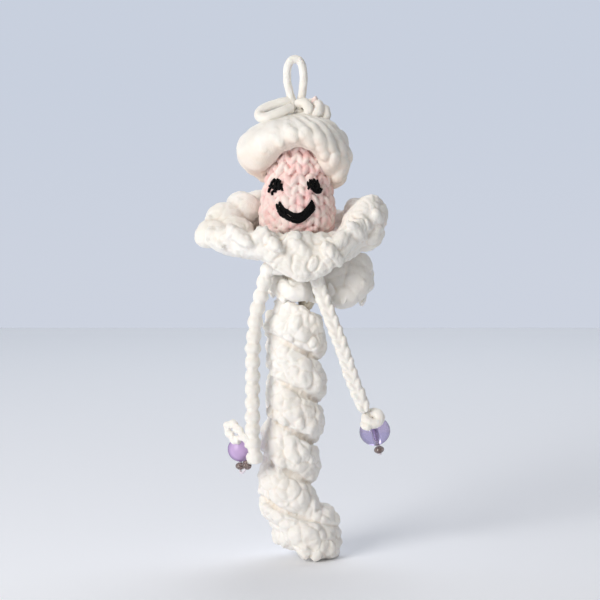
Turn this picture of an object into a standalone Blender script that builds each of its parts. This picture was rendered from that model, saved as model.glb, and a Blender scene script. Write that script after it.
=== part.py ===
"""Yarn doll that hangs by a loop: knitted head, rolled hat, frilled collar, cord arms and corkscrew tail.

Metres, +Z up, +X to the right of a viewer who faces the doll, +Y away from the viewer.
Left and right in the names are the viewer's. The origin is the inner top of the hanging loop.
"""

from math import acos, atan2, cos, degrees, pi, radians, sin, sqrt

import bmesh
import bpy
from mathutils import Matrix, Vector

# Clearances
touching_gap = 0.0003
turning_gap = 0.0004

# Hanging loop and its stopper
strand_diameter = 0.0026
loop_opening_height = 0.0102
loop_opening_width = 0.0030
loop_foot_spacing = 0.0031
loop_leg_run = 0.0018
stopper_diameter = 0.0052
stopper_rise = 0.0010
body_offset = 0.0008

# Hat: half outline, then the reach and fall of its brim at each angle
hat_radius = 0.0197
hat_height = 0.0235
hat_profile_shares = (
    (0.00, 0.000),
    (0.20, 0.010),
    (0.38, 0.045),
    (0.56, 0.110),
    (0.75, 0.200),
    (0.92, 0.375),
    (1.00, 0.580),
    (0.98, 0.740),
    (0.90, 0.890),
    (0.77, 0.985),
    (0.62, 1.000),
    (0.34, 0.900),
)
hat_crown_rows = 7
hat_brim_shares = (
    (0, 0.83, 0.95),
    (45, 0.84, 0.98),
    (90, 0.84, 1.00),
    (135, 0.90, 0.97),
    (180, 1.00, 0.87),
    (212, 0.93, 0.74),
    (240, 0.81, 0.54),
    (268, 0.76, 0.44),
    (296, 0.79, 0.54),
    (325, 0.81, 0.78),
)

# Tie cord on the hat
tie_diameter = 0.0025
bow_length = 0.0104
bow_opening = 0.0032
bow_forward = 0.0012
bow_lean_share = 0.85
tie_coil_diameter = 0.0064
tie_coil_pitch = 0.0030
tie_coil_turns = 2
tie_tip_length = 0.0021
tie_tip_diameter = 0.0018

# Head
hat_crown_wall = 0.0028
head_radius = 0.0117
head_height = 0.0354
head_wall = 0.0016
head_profile_shares = (
    (0.000, 0.000),
    (0.150, 0.006),
    (0.300, 0.030),
    (0.460, 0.085),
    (0.590, 0.170),
    (0.735, 0.320),
    (0.850, 0.480),
    (0.940, 0.636),
    (0.988, 0.763),
    (1.000, 0.862),
    (0.930, 0.938),
    (0.735, 0.989),
    (0.300, 1.000),
)

# Embroidery on the face, placed from the neck axis and from the top of the head
stitch_rise = 0.0008
eye_width = 0.0047
left_eye_across = -0.0067
left_eye_down_share = 0.573
left_eye_height = 0.0050
right_eye_across = 0.0045
right_eye_down_share = 0.560
right_eye_height = 0.0046
mouth_width = 0.0116
mouth_drop = 0.0042
mouth_stroke = 0.0029
mouth_across = -0.0003
mouth_down_share = 0.746
left_eye_shares = (
    (-0.10, 0.50), (0.28, 0.46), (0.46, 0.10), (0.50, -0.28), (0.24, -0.42), (-0.04, -0.20),
    (-0.30, -0.36), (-0.50, -0.46), (-0.40, -0.04), (-0.34, 0.26),
)
right_eye_shares = (
    (-0.14, 0.48), (0.20, 0.50), (0.44, 0.22), (0.50, -0.16), (0.34, -0.50), (0.12, -0.30),
    (-0.18, -0.40), (-0.46, -0.16), (-0.50, 0.20),
)

# Cord through the neck
core_diameter = 0.0062
core_end_diameter = 0.0042
core_groove_share = 0.16
core_twist_pitch = 0.0165
neck_knot_diameter = 0.0110
neck_knot_height = 0.0046
neck_drop = 0.0041
shoulder_drop = 0.0069
lower_ruffle_drop = 0.0034
waist_drop = 0.0094
waist_lean = 0.0032
waist_end_lean = 0.0018
waist_knot_diameter = 0.0056

# Frills of the collar: angle, then rim radius, rim rise, root rise, edge bulge and edge lift
upper_reach = 0.0320
upper_rise = 0.0160
upper_thickness = 0.0048
upper_ruffle_shares = (
    (0, 0.85, 0.72, -0.06, 0.05, -0.42),
    (20, 0.82, 0.90, -0.06, 0.06, -0.50),
    (45, 0.67, 0.56, 0.00, 0.03, -0.32),
    (75, 0.58, 0.40, 0.00, 0.03, -0.25),
    (105, 0.61, 0.74, 0.00, 0.03, -0.38),
    (130, 0.71, 1.00, -0.06, 0.06, -0.50),
    (150, 0.83, 0.88, -0.06, 0.06, -0.50),
    (170, 0.94, 0.56, -0.06, 0.05, -0.38),
    (188, 0.97, 0.32, -0.12, 0.03, -0.32),
    (205, 0.91, 0.34, -0.12, 0.03, -0.44),
    (225, 0.75, 0.34, -0.14, 0.03, -0.52),
    (250, 0.59, 0.28, 0.16, 0.06, -1.20),
    (270, 0.54, 0.25, 0.30, 0.12, -1.62),
    (290, 0.56, 0.25, 0.30, 0.12, -1.60),
    (310, 0.64, 0.28, 0.14, 0.07, -1.14),
    (330, 0.74, 0.47, -0.14, 0.05, -0.50),
    (345, 0.81, 0.60, -0.12, 0.05, -0.44),
)
lower_reach = 0.0230
lower_fall = 0.0075
lower_thickness = 0.0036
lower_ruffle_shares = (
    (0, 0.93, -0.90, 0.90, 0.24, 2.20),
    (15, 1.00, -1.00, 1.00, 0.26, 2.45),
    (32, 0.95, -0.98, 0.92, 0.26, 2.30),
    (60, 0.78, -0.50, 0.50, 0.13, 1.00),
    (90, 0.64, -0.20, 0.40, 0.09, 0.66),
    (130, 0.54, -0.14, 0.26, 0.07, 0.50),
    (180, 0.43, -0.40, 0.10, 0.05, 0.40),
    (220, 0.36, -0.60, 0.06, 0.05, 0.40),
    (250, 0.36, -0.70, 0.00, 0.05, 0.40),
    (272, 0.38, -0.74, 0.00, 0.05, 0.40),
    (292, 0.37, -0.66, 0.00, 0.05, 0.40),
    (310, 0.32, -0.50, 0.00, 0.04, 0.34),
    (326, 0.36, -0.46, 0.06, 0.04, 0.40),
    (340, 0.48, -0.60, 0.30, 0.06, 0.80),
    (350, 0.72, -0.80, 0.55, 0.14, 1.30),
)
frill_thickness_shares = (0.62, 1.00, 1.00, 1.00, 0.98, 0.84, 0.59)

# Arms: cord routes chosen by hand, from the shoulder cord down to the wrist
arm_diameter = 0.0049
arm_bead_pitch = 0.0043
arm_waist_share = 0.13
arm_end_share = 0.62
wrist_setback = 0.0014
shoulder_cord_diameter = 0.0026
left_shoulder = (-0.0096, -0.0076)
right_shoulder = (0.0068, -0.0084)
left_arm_route = (
    (0.0, 0.0, 0.0), (-0.0008, -0.0004, -0.0050), (-0.0026, -0.0008, -0.0120), (-0.0036, -0.0010, -0.0220),
    (-0.0038, -0.0014, -0.0330), (-0.0038, -0.0022, -0.0440), (-0.0036, -0.0034, -0.0520),
    (-0.0026, -0.0042, -0.0590),
)
right_arm_route = (
    (0.0, 0.0, 0.0), (0.0013, -0.0003, -0.0050), (0.0040, -0.0006, -0.0120), (0.0078, -0.0010, -0.0220),
    (0.0112, -0.0016, -0.0320), (0.0154, -0.0024, -0.0427),
)

# Hands and beads, placed from the bottom end of each arm
knot_strand_diameter = 0.0024
thread_diameter = 0.0009
bead_bore = 0.0017
left_bead_diameter = 0.0081
left_bead_across = -0.0052
left_bead_back = 0.0064
left_bead_up = 0.0036
right_bead_diameter = 0.0099
right_bead_height = 0.0092
right_bead_across = 0.0032
right_bead_back = 0.0046
right_bead_down = 0.0068
right_bead_lean = 0.0021
ring_opening = 0.0024
ring_reach = 0.0064
seed_bead_diameter = 0.0031
seed_bead_height = 0.0024
seed_bead_bore = 0.0014

# Corkscrew tail
tail_radius = 0.0099
tail_foot_radius = 0.0114
tail_pitch = 0.0133
tail_band_height = 0.0125
tail_core_diameter = 0.0084
tail_turns = 5.76
tail_start_angle = 128
tail_rise = 0.0002
tail_sway = 0.0035
tail_end_length = 0.0042
tail_sway_shares = (
    (0.00, 0.00), (0.07, -0.72), (0.19, -0.62), (0.35, -0.66), (0.53, -1.08), (0.68, -1.30), (0.83, 0.05),
    (0.92, 0.50), (1.00, 0.75),
)

# Turned and wound detail
turned_sides = 28
bead_sides = 20
knot_sides = 14
tube_sides = 10
route_step = 0.0026
frill_sections = 42


def clear_scene():
    for item in list(bpy.data.objects):
        bpy.data.objects.remove(item, do_unlink=True)


def material(name, colour, roughness, metallic=0.0, transmission=0.0):
    """Principled material with the colour that the piece shows."""
    found = bpy.data.materials.get(name) or bpy.data.materials.new(name)
    found.use_nodes = True
    shader = found.node_tree.nodes["Principled BSDF"]
    shader.inputs["Base Color"].default_value = (*colour, 1)
    shader.inputs["Roughness"].default_value = roughness
    shader.inputs["Metallic"].default_value = metallic
    shader.inputs["Transmission Weight"].default_value = transmission
    return found


def add_object(name, mesh, finish):
    """Place a mesh in the scene, smooth shaded, with its faces turned outwards."""
    mesh.shade_smooth()
    mesh.materials.append(finish)
    item = bpy.data.objects.new(name, mesh)
    bpy.context.scene.collection.objects.link(item)
    return item


def mesh_from(bm, name):
    bmesh.ops.recalc_face_normals(bm, faces=bm.faces)
    mesh = bpy.data.meshes.new(name)
    bm.to_mesh(mesh)
    bm.free()
    return mesh


def turned(name, profile, finish, sides=turned_sides, centre=(0, 0, 0), axis=(0, 0, 1)):
    """Solid of revolution from (radius, height) points; a profile that is off the axis makes a ring."""
    bm = bmesh.new()
    points = [bm.verts.new((radius, 0, height)) for radius, height in profile]
    edges = [bm.edges.new(pair) for pair in zip(points, points[1:])]
    if profile[0][0] > 0:
        edges.append(bm.edges.new((points[-1], points[0])))
    bmesh.ops.spin(
        bm, geom=points + edges, cent=(0, 0, 0), axis=(0, 0, 1), angle=2 * pi, steps=sides, use_merge=True
    )
    bmesh.ops.remove_doubles(bm, verts=bm.verts, dist=touching_gap / 100)
    turn = Vector((0, 0, 1)).rotation_difference(Vector(axis)).to_matrix().to_4x4()
    bmesh.ops.transform(bm, matrix=Matrix.Translation(centre) @ turn, verts=bm.verts)
    return add_object(name, mesh_from(bm, name), finish)


def lofted(name, rings, finish, closed=False):
    """Skin over a run of rings with the same number of points, capped at both ends unless it closes."""
    bm = bmesh.new()
    rows = [[bm.verts.new(point) for point in ring] for ring in rings]
    pairs = list(zip(rows, rows[1:])) + ([(rows[-1], rows[0])] if closed else [])
    for near, far in pairs:
        for k in range(len(near)):
            j = (k + 1) % len(near)
            bm.faces.new((near[k], near[j], far[j], far[k]))
    if not closed:
        bm.faces.new(rows[0])
        bm.faces.new(rows[-1])
    return add_object(name, mesh_from(bm, name), finish)


def between(a, b, c, d, t):
    """Smooth value a share t of the way from b to c, with a before them and d after."""
    return 0.5 * (2 * b + (c - a) * t + (2 * a - 5 * b + 4 * c - d) * t**2 + (3 * b - a - 3 * c + d) * t**3)


def smooth_route(points, step):
    """Even points on the smooth curve through a route's own points."""
    points = [Vector(point) for point in points]
    ends = [2 * points[0] - points[1], *points, 2 * points[-1] - points[-2]]
    fine = []
    for a, b, c, d in zip(ends, ends[1:], ends[2:], ends[3:]):
        fine += [between(a, b, c, d, k / 12) for k in range(12)]
    fine.append(points[-1])
    lengths = [0]
    for here, there in zip(fine, fine[1:]):
        lengths.append(lengths[-1] + (there - here).length)
    count = max(2, round(lengths[-1] / step))
    even = []
    for k in range(count + 1):
        wanted = lengths[-1] * k / count
        i = max(1, next(n for n, length in enumerate(lengths) if length >= wanted * 0.999999))
        share = (wanted - lengths[i - 1]) / (lengths[i] - lengths[i - 1])
        even.append(fine[i - 1].lerp(fine[i], min(1, share)))
    return even


def cord(name, points, diameter, finish, resolution=2, cyclic=False):
    """Round cord along points, as a bevelled curve with filled caps."""
    curve = bpy.data.curves.new(name, "CURVE")
    curve.dimensions = "3D"
    curve.bevel_depth = diameter / 2
    curve.bevel_resolution = resolution
    curve.use_fill_caps = not cyclic
    spline = curve.splines.new("POLY")
    spline.points.add(len(points) - 1)
    for spot, point in zip(spline.points, points):
        spot.co = (*point, 1)
    spline.use_cyclic_u = cyclic
    curve.materials.append(finish)
    item = bpy.data.objects.new(name, curve)
    bpy.context.scene.collection.objects.link(item)
    return item


def cutter(item, target):
    """Take one solid out of another and keep the first as a guide."""
    item.hide_render = True
    item.display_type = "WIRE"
    cut = target.modifiers.new(item.name, "BOOLEAN")
    cut.operation = "DIFFERENCE"
    cut.solver = "EXACT"
    cut.object = item


def ball_profile(radius, height, steps=10):
    """Half outline of a ball or a flattened ball, from the top pole to the bottom one."""
    turns = [pi * k / steps for k in range(steps + 1)]
    return [(radius * sin(a) if 0 < k < steps else 0, height / 2 * cos(a)) for k, a in enumerate(turns)]


def bored_ball_profile(radius, height, bore, steps=10):
    """Half outline of a ball with a bore along its axis."""
    start = acos(sqrt(1 - (bore / radius) ** 2))
    turns = [start + (pi - 2 * start) * k / steps for k in range(steps + 1)]
    return [(radius * sin(a), height / 2 * cos(a)) for a in turns]


def offset_profile(profile, distance):
    """Move a half outline along its outward side by a distance; points on the axis stay on it."""
    moved = []
    for k, (radius, height) in enumerate(profile):
        before = profile[max(k - 1, 0)]
        after = profile[min(k + 1, len(profile) - 1)]
        run = Vector((after[0] - before[0], after[1] - before[1])).normalized()
        out = Vector((-run.y, run.x)) if k or radius else Vector((0, 1))
        moved.append((max(0, radius + out.x * distance) if radius else 0, height + out.y * distance))
    return moved


def height_on(profile, radius):
    """Height of a half outline at a radius, on its upper side."""
    for (r0, h0), (r1, h1) in zip(profile, profile[1:]):
        if r0 <= radius <= r1 and r1 > r0:
            return h0 + (h1 - h0) * (radius - r0) / (r1 - r0)
    return profile[-1][1]


def radius_at(profile, height):
    """Radius of a half outline at a height."""
    for (r0, h0), (r1, h1) in zip(profile, profile[1:]):
        if h1 <= height <= h0 and h0 > h1:
            return r0 + (r1 - r0) * (h0 - height) / (h0 - h1)
    return profile[-1][0]


def cyclic_row(rows, angle):
    """Smooth values between the rows of a table whose first column is an angle in degrees."""
    angle %= 360
    count = len(rows)
    i = max(k for k in range(count) if rows[k][0] <= angle)
    lows = [rows[(i + k) % count] for k in (-1, 0, 1, 2)]
    span = (lows[2][0] - lows[1][0]) % 360
    t = (angle - lows[1][0]) / span
    return [between(a, b, c, d, t) for a, b, c, d in zip(*(row[1:] for row in lows))]


def eased(rows, place):
    """Value between the rows of a (place, value) table, with a smooth start and end to each step."""
    for (p0, v0), (p1, v1) in zip(rows, rows[1:]):
        if place <= p1:
            t = (place - p0) / (p1 - p0)
            return v0 + (v1 - v0) * t * t * (3 - 2 * t)
    return rows[-1][1]


clear_scene()
cream_yarn = material("cream_yarn", (0.90, 0.87, 0.82), 0.85)
core_yarn = material("core_yarn", (0.78, 0.70, 0.60), 0.85)
pink_yarn = material("pink_yarn", (0.93, 0.74, 0.70), 0.85)
black_thread = material("black_thread", (0.02, 0.02, 0.025), 0.5)
fibre = material("fibre", (0.92, 0.91, 0.88), 0.95)
thread = material("thread", (0.85, 0.82, 0.80), 0.6)
lavender_glass = material("lavender_glass", (0.62, 0.45, 0.75), 0.45)
purple_glass = material("purple_glass", (0.55, 0.42, 0.72), 0.08, transmission=0.8)
smoky_glass = material("smoky_glass", (0.35, 0.27, 0.25), 0.12, transmission=0.5)

# Hanging loop, from its left foot over the top to its right foot
half_strand = strand_diameter / 2
loop_top_radius = (loop_opening_width + strand_diameter) / 2
loop_foot = -loop_opening_height - loop_leg_run
loop_shoulder = half_strand - loop_top_radius
left_foot = body_offset - loop_foot_spacing / 2
right_foot = body_offset + loop_foot_spacing / 2
loop_points = [(left_foot, 0, loop_foot), (left_foot, 0, -loop_opening_height)]
for k in range(9):
    turn = pi - pi * k / 8
    loop_points.append((loop_top_radius * cos(turn), 0, loop_shoulder + loop_top_radius * sin(turn)))
loop_points += [(right_foot, 0, -loop_opening_height), (right_foot, 0, loop_foot)]
cord("hanging_loop", smooth_route(loop_points, route_step / 2), strand_diameter, cream_yarn)

stopper_centre = (body_offset, 0, loop_foot - touching_gap - stopper_diameter / 2)
stopper_profile = ball_profile(stopper_diameter / 2, stopper_diameter)
turned("loop_stopper", stopper_profile, cream_yarn, knot_sides, stopper_centre)

# Head: a knitted cover, open round the neck cord, over a ball of fibre
hat_top = stopper_centre[2] - stopper_rise
head_top = hat_top - hat_crown_wall
head_bottom = head_top - head_height
core_radius = core_diameter / 2
neck_opening = core_radius + turning_gap
head_profile = [(r * head_radius, head_top - h * head_height) for r, h in head_profile_shares]
head_profile[-1] = (neck_opening, head_bottom)
head_lining = offset_profile(head_profile, -head_wall)
head_lining[-1] = (neck_opening, head_bottom + head_wall)
head_axis = (body_offset, 0, 0)


def capped_shell(name, outer, inner, finish):
    """Closed shell of revolution whose crown is closed over the axis and whose foot is open."""
    bm = bmesh.new()
    points = [bm.verts.new((radius, 0, height)) for radius, height in outer + inner[::-1]]
    edges = [bm.edges.new(pair) for pair in zip(points, points[1:])]
    bmesh.ops.spin(
        bm,
        geom=points + edges,
        cent=(0, 0, 0),
        axis=(0, 0, 1),
        angle=2 * pi,
        steps=turned_sides,
        use_merge=True,
    )
    bmesh.ops.remove_doubles(bm, verts=bm.verts, dist=touching_gap / 100)
    bmesh.ops.translate(bm, verts=bm.verts, vec=head_axis)
    return add_object(name, mesh_from(bm, name), finish)


capped_shell("head_cover", head_profile, head_lining, pink_yarn)

neck_knot_bottom = head_bottom + head_wall + turning_gap
neck_knot_top = neck_knot_bottom + neck_knot_height
stuffing_bottom = neck_knot_top + turning_gap
stuffing_skin = offset_profile(head_profile, -head_wall - touching_gap)
stuffing_profile = [point for point in stuffing_skin if point[1] > stuffing_bottom + touching_gap]
stuffing_edge = radius_at(stuffing_skin, stuffing_bottom)
stuffing_profile += [(stuffing_edge, stuffing_bottom), (0, stuffing_bottom)]
turned("head_stuffing", stuffing_profile, fibre, turned_sides, head_axis)

# Hat: a thick crown and a rolled brim, high over the face and low at the sides and back
hat_centre = Vector((body_offset, 0, 0))


def hat_spread(angle):
    """Reach and fall of the hat at an angle."""
    reach, fall = cyclic_row(hat_brim_shares, angle)
    return reach * hat_radius, fall * hat_height


def hat_surface(x, y):
    """Height of the hat's top at a place given from its centre."""
    reach, fall = hat_spread(degrees(atan2(y, x)))
    return hat_top - height_on(hat_profile_shares[:hat_crown_rows], sqrt(x * x + y * y) / reach) * fall


hat_rings = []
for radius_share, fall_share in hat_profile_shares[1:]:
    ring = []
    for k in range(turned_sides):
        reach, fall = hat_spread(360 * k / turned_sides)
        a = 2 * pi * k / turned_sides
        side = reach * radius_share
        ring.append(hat_centre + Vector((side * cos(a), side * sin(a), hat_top - fall * fall_share)))
    hat_rings.append(ring)
hat = lofted("hat", hat_rings, cream_yarn)
head_room = [(r, h) for r, h in offset_profile(head_profile[:-1], touching_gap)]
head_room += [(0, head_bottom - touching_gap)]
cutter(turned("head_room", head_room, cream_yarn, turned_sides, head_axis), hat)
stopper_room = ball_profile(stopper_diameter / 2 + turning_gap, stopper_diameter + 2 * turning_gap)
cutter(turned("stopper_room", stopper_room, cream_yarn, bead_sides, stopper_centre), hat)

# Tie cord: a flat bow to the left of the loop and a wound knot to its right, lying on the hat
tie_radius = tie_diameter / 2
tie_lift = tie_radius + touching_gap
bow_root = loop_foot_spacing / 2 + half_strand + tie_radius + touching_gap


def on_hat(x, y, lift):
    """Point over the hat at a place given from its centre, with lift between it and the surface."""
    steps = [(x + lift * cos(a) * 0.7, y + lift * sin(a) * 0.7) for a in (0, pi / 2, pi, 3 * pi / 2)]
    return hat_centre + Vector((x, y, max(hat_surface(*place) for place in [(x, y), *steps]) + lift))


bow_places = []
for k in range(13):
    turn = -pi / 2 - pi * (k - 2) / 8 if 2 <= k <= 10 else None
    bend = (bow_opening + tie_diameter) / 2
    if k < 2:
        bow_places.append((-bow_root - (bow_length - bend - bow_root) * k / 2, -bend))
    elif k <= 10:
        bow_places.append((-(bow_length - bend) + bend * cos(turn), bend * sin(turn)))
    else:
        bow_places.append((-bow_root - (bow_length - bend - bow_root) * (12 - k) / 2, bend))
bow_points = []
for x, y in bow_places:
    rise = (y - bow_places[0][1]) * bow_lean_share
    bow_points.append(on_hat(x, y - bow_forward, tie_lift) + Vector((0, 0, rise)))
cord("tie_bow", smooth_route(bow_points, route_step / 2), tie_diameter, cream_yarn)

coil_radius = (tie_coil_diameter - tie_diameter) / 2
coil_start = loop_foot_spacing / 2 + half_strand + tie_radius + touching_gap
coil_length = tie_coil_pitch * tie_coil_turns
coil_middle = coil_start + coil_length / 2
coil_seat = on_hat(coil_middle, 0, coil_radius + tie_lift)
coil_fall = on_hat(coil_middle + coil_length / 2, 0, 0) - on_hat(coil_middle - coil_length / 2, 0, 0)
coil_lean = coil_fall.z / coil_length
coil_points = []
coil_steps = 24 * tie_coil_turns
for k in range(coil_steps + 1):
    turn = 2 * pi * tie_coil_turns * k / coil_steps
    along = coil_length * (k / coil_steps - 0.5)
    coil_points.append(
        coil_seat + Vector((along, coil_radius * sin(turn), along * coil_lean + coil_radius * cos(turn)))
    )
cord("tie_knot", coil_points, tie_diameter, cream_yarn, resolution=1)
tip_base = coil_points[coil_steps // 2 + 2] + Vector((0, 0, tie_radius + touching_gap))
tip_points = [tip_base, tip_base + Vector((tie_tip_length / 3, 0, tie_tip_length))]
cord("tie_tip", tip_points, tie_tip_diameter, pink_yarn)


def stitch_patch(name, outline, across, down_share):
    """Domed patch of black thread that follows the front of the head."""
    centre = Vector((sum(x for x, z in outline) / len(outline), sum(z for x, z in outline) / len(outline)))
    layers = [(0.35, 0.0), (0.75, 0.0), (1.0, 0.0), (1.0, 0.45), (0.8, 0.85), (0.4, 1.0)]
    rings = []
    for share, rise in layers:
        ring = []
        for x, z in outline:
            spot = centre + (Vector((x, z)) - centre) * share
            height = head_top - down_share * head_height + spot.y
            radius = radius_at(head_profile, height) + touching_gap + stitch_rise * rise
            side = across + spot.x
            ring.append((body_offset + side, -sqrt(radius**2 - side**2), height))
        rings.append(ring)
    return lofted(name, rings, black_thread)


def eye_outline(shares, width, height):
    return [(x * width, z * height) for x, z in shares]


left_outline = eye_outline(left_eye_shares, eye_width, left_eye_height)
right_outline = eye_outline(right_eye_shares, eye_width, right_eye_height)
stitch_patch("left_eye", left_outline, left_eye_across, left_eye_down_share)
stitch_patch("right_eye", right_outline, right_eye_across, right_eye_down_share)
mouth_half = (mouth_width - mouth_stroke) / 2
mouth_lower = []
mouth_upper = []
for k in range(9):
    t = 2 * k / 8 - 1
    sag = -mouth_drop * (1 - t * t)
    slope = atan2(2 * mouth_drop * t, mouth_half)
    stroke = mouth_stroke / 2 * (1 - 0.35 * t**4)
    mouth_lower.append((mouth_half * t + stroke * sin(slope), sag - stroke * cos(slope)))
    mouth_upper.append((mouth_half * t - stroke * sin(slope), sag + stroke * cos(slope)))


def curved_band(name, lower, upper, across, down_share):
    """Domed band of black thread between two edges, following the front of the head."""
    rings = []
    for (x0, z0), (x1, z1) in zip(lower, upper):
        ring = []
        for share, rise in ((0.0, 0.0), (0.5, 0.0), (1.0, 0.0), (0.9, 0.7), (0.5, 1.0), (0.1, 0.7)):
            side = across + x0 + (x1 - x0) * share
            height = head_top - down_share * head_height + z0 + (z1 - z0) * share
            radius = radius_at(head_profile, height) + touching_gap + stitch_rise * rise
            ring.append((body_offset + side, -sqrt(radius**2 - side**2), height))
        rings.append(ring)
    return lofted(name, rings, black_thread)


curved_band("mouth", mouth_lower, mouth_upper, mouth_across, mouth_down_share)

# Neck knot inside the head, and the twisted cord that hangs from it to the waist
neck_centre = (body_offset, 0, (neck_knot_top + neck_knot_bottom) / 2)
neck_knot_profile = ball_profile(neck_knot_diameter / 2, neck_knot_height)
turned("neck_knot", neck_knot_profile, core_yarn, knot_sides, neck_centre)

frill_root = head_bottom - neck_drop
shoulder_height = frill_root - shoulder_drop
lower_root = shoulder_height - lower_ruffle_drop
waist_height = lower_root - waist_drop
waist_knot_radius = waist_knot_diameter / 2
waist_centre = Vector((body_offset + waist_end_lean, 0, waist_height))
core_top = Vector((body_offset, 0, neck_knot_bottom - touching_gap))
core_end = waist_centre + Vector((0, 0, waist_knot_radius + touching_gap))
core_route = [
    core_top,
    Vector((body_offset, 0, frill_root)),
    Vector((body_offset, 0, shoulder_height)),
    Vector((body_offset, 0, lower_root - lower_thickness / 2)),
    Vector((body_offset + waist_lean, 0, (lower_root - lower_thickness + core_end.z) / 2)),
    core_end + Vector((0, 0, core_end_diameter / 3)),
    core_end,
]
core_points = smooth_route(core_route, route_step / 2)
core_length = sum((b - a).length for a, b in zip(core_points, core_points[1:]))


def core_section(share, angle):
    """Four strands twisted together, drawn in over the last third."""
    narrow = eased(((0.0, 0.0), (0.72, 0.0), (1.0, 1.0)), share)
    radius = core_radius + (core_end_diameter / 2 - core_radius) * narrow
    twist = 2 * pi * share * core_length / core_twist_pitch
    return radius * (1 - core_groove_share * (0.5 - 0.5 * cos(4 * (angle - twist))))


def fluted(name, points, section, finish, sides):
    """Loft of a fluted section along a route."""
    rings = []
    side = Vector((0, 1, 0))
    for k, point in enumerate(points):
        ahead = (points[min(k + 1, len(points) - 1)] - points[max(k - 1, 0)]).normalized()
        side = (side - ahead * side.dot(ahead)).normalized()
        up = ahead.cross(side)
        share = k / (len(points) - 1)
        angles = [2 * pi * j / sides for j in range(sides)]
        rings.append([point + (side * cos(a) + up * sin(a)) * section(share, a) for a in angles])
    return lofted(name, rings, finish)


fluted("core_cord", core_points, core_section, core_yarn, 2 * tube_sides)
waist_knot_profile = ball_profile(waist_knot_radius, waist_knot_diameter)
turned("waist_knot", waist_knot_profile, core_yarn, knot_sides, waist_centre)


def frill(name, rows, reach, rise, thickness, root_height):
    """Frilled band round the neck: at each angle a curve from the root to the rim, with a rounded edge."""
    root = core_radius + touching_gap + turning_gap
    sections = []
    steps = len(frill_thickness_shares) - 1
    for n in range(frill_sections):
        angle = 360 * n / frill_sections
        rim, lift, start, bulge, turn = cyclic_row(rows, angle)
        far = rim * reach - thickness / 2
        corners = [
            Vector((root, root_height)),
            Vector((root + (far - root) / 3, root_height + start * rise)),
            Vector((far + bulge * reach, root_height + (lift + turn) * rise)),
            Vector((far, root_height + lift * rise)),
        ]
        top, bottom = [], []
        for k in range(steps + 1):
            t = k / steps
            weights = ((1 - t) ** 3, 3 * t * (1 - t) ** 2, 3 * t * t * (1 - t), t**3)
            slopes = (-3 * (1 - t) ** 2, 3 * (1 - t) * (1 - 3 * t), 3 * t * (2 - 3 * t), 3 * t * t)
            spot = sum((w * c for w, c in zip(weights, corners)), Vector((0, 0)))
            run = sum((w * c for w, c in zip(slopes, corners)), Vector((0, 0))).normalized()
            out = Vector((-run.y, run.x))
            half = thickness / 2 * frill_thickness_shares[k]
            if k == 0:
                out = Vector((0, 1))
            top.append(spot + out * half)
            bottom.append(spot - out * half)
        tip = spot + run * thickness / 2 * 0.7
        around = Matrix.Rotation(radians(angle), 3, "Z")
        ring = [*top, tip, *bottom[::-1]]
        sections.append([around @ Vector((p.x, 0, p.y)) + Vector(head_axis) for p in ring])
    return lofted(name, sections, cream_yarn, closed=True)


frill("upper_ruffle", upper_ruffle_shares, upper_reach, upper_rise, upper_thickness, frill_root)
frill("lower_ruffle", lower_ruffle_shares, lower_reach, lower_fall, lower_thickness, lower_root)

# Shoulder cord round the front of the neck, and the two arms that hang from its ends
shoulder_radius = shoulder_cord_diameter / 2
arm_radius = arm_diameter / 2
left_pivot = Vector((*left_shoulder, shoulder_height))
right_pivot = Vector((*right_shoulder, shoulder_height))
shoulder_front = core_radius + shoulder_radius + touching_gap + turning_gap
shoulder_route = [
    left_pivot,
    (left_pivot + Vector((body_offset, -shoulder_front, shoulder_height))) / 2,
    Vector((body_offset, -shoulder_front, shoulder_height)),
    (right_pivot + Vector((body_offset, -shoulder_front, shoulder_height))) / 2,
    right_pivot,
]
shoulder_route[1].y -= shoulder_radius / 2
cord("shoulder_cord", smooth_route(shoulder_route, route_step), shoulder_cord_diameter, cream_yarn)


def arm(name, pivot, route):
    """Chain-stitch cord that swells at each stitch and is drawn in at both ends."""
    top = pivot - Vector((0, 0, shoulder_radius + turning_gap))
    points = smooth_route([top + Vector(step) for step in route], arm_bead_pitch / 3)
    beads = len(points) / 3

    def section(share, angle):
        taper = ((0.0, arm_end_share), (0.06, 1.0), (0.93, 1.0), (0.97, arm_end_share), (1.0, 0.3))
        ends = eased(taper, share)
        return arm_radius * ends * (1 - arm_waist_share * (0.5 + 0.5 * cos(2 * pi * beads * share)))

    fluted(name, points, section, cream_yarn, tube_sides)
    return points


left_arm_points = arm("left_arm", left_pivot, left_arm_route)
right_arm_points = arm("right_arm", right_pivot, right_arm_route)

# Corkscrew tail: one band wound round its core
tail_top = waist_height
tail_length = tail_pitch * tail_turns + tail_band_height / 2
core_radius_in_tail = tail_core_diameter / 2
cup_radius = waist_knot_radius + turning_gap
tail_axis_x = waist_centre.x


def tail_centre(height):
    """Centre of the tail at a height: it sways a little from side to side on its way down."""
    share = (tail_top - height) / tail_length
    return Vector((tail_axis_x + tail_sway * eased(tail_sway_shares, min(1, max(0, share))), 0, height))


core_rings = []
core_levels = 20
tail_core_length = tail_length - tail_band_height
for k in range(core_levels + 1):
    height = tail_top - touching_gap - (tail_core_length - touching_gap) * k / core_levels
    spot = tail_centre(height)
    ring = []
    for j in range(tube_sides):
        a = 2 * pi * j / tube_sides
        ring.append(spot + Vector((core_radius_in_tail * cos(a), core_radius_in_tail * sin(a), 0)))
    core_rings.append(ring)
tail_core = lofted("tail_core", core_rings, core_yarn)
cup = ball_profile(cup_radius, 2 * cup_radius)
cutter(turned("waist_knot_room", cup, core_yarn, bead_sides, waist_centre), tail_core)

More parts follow.
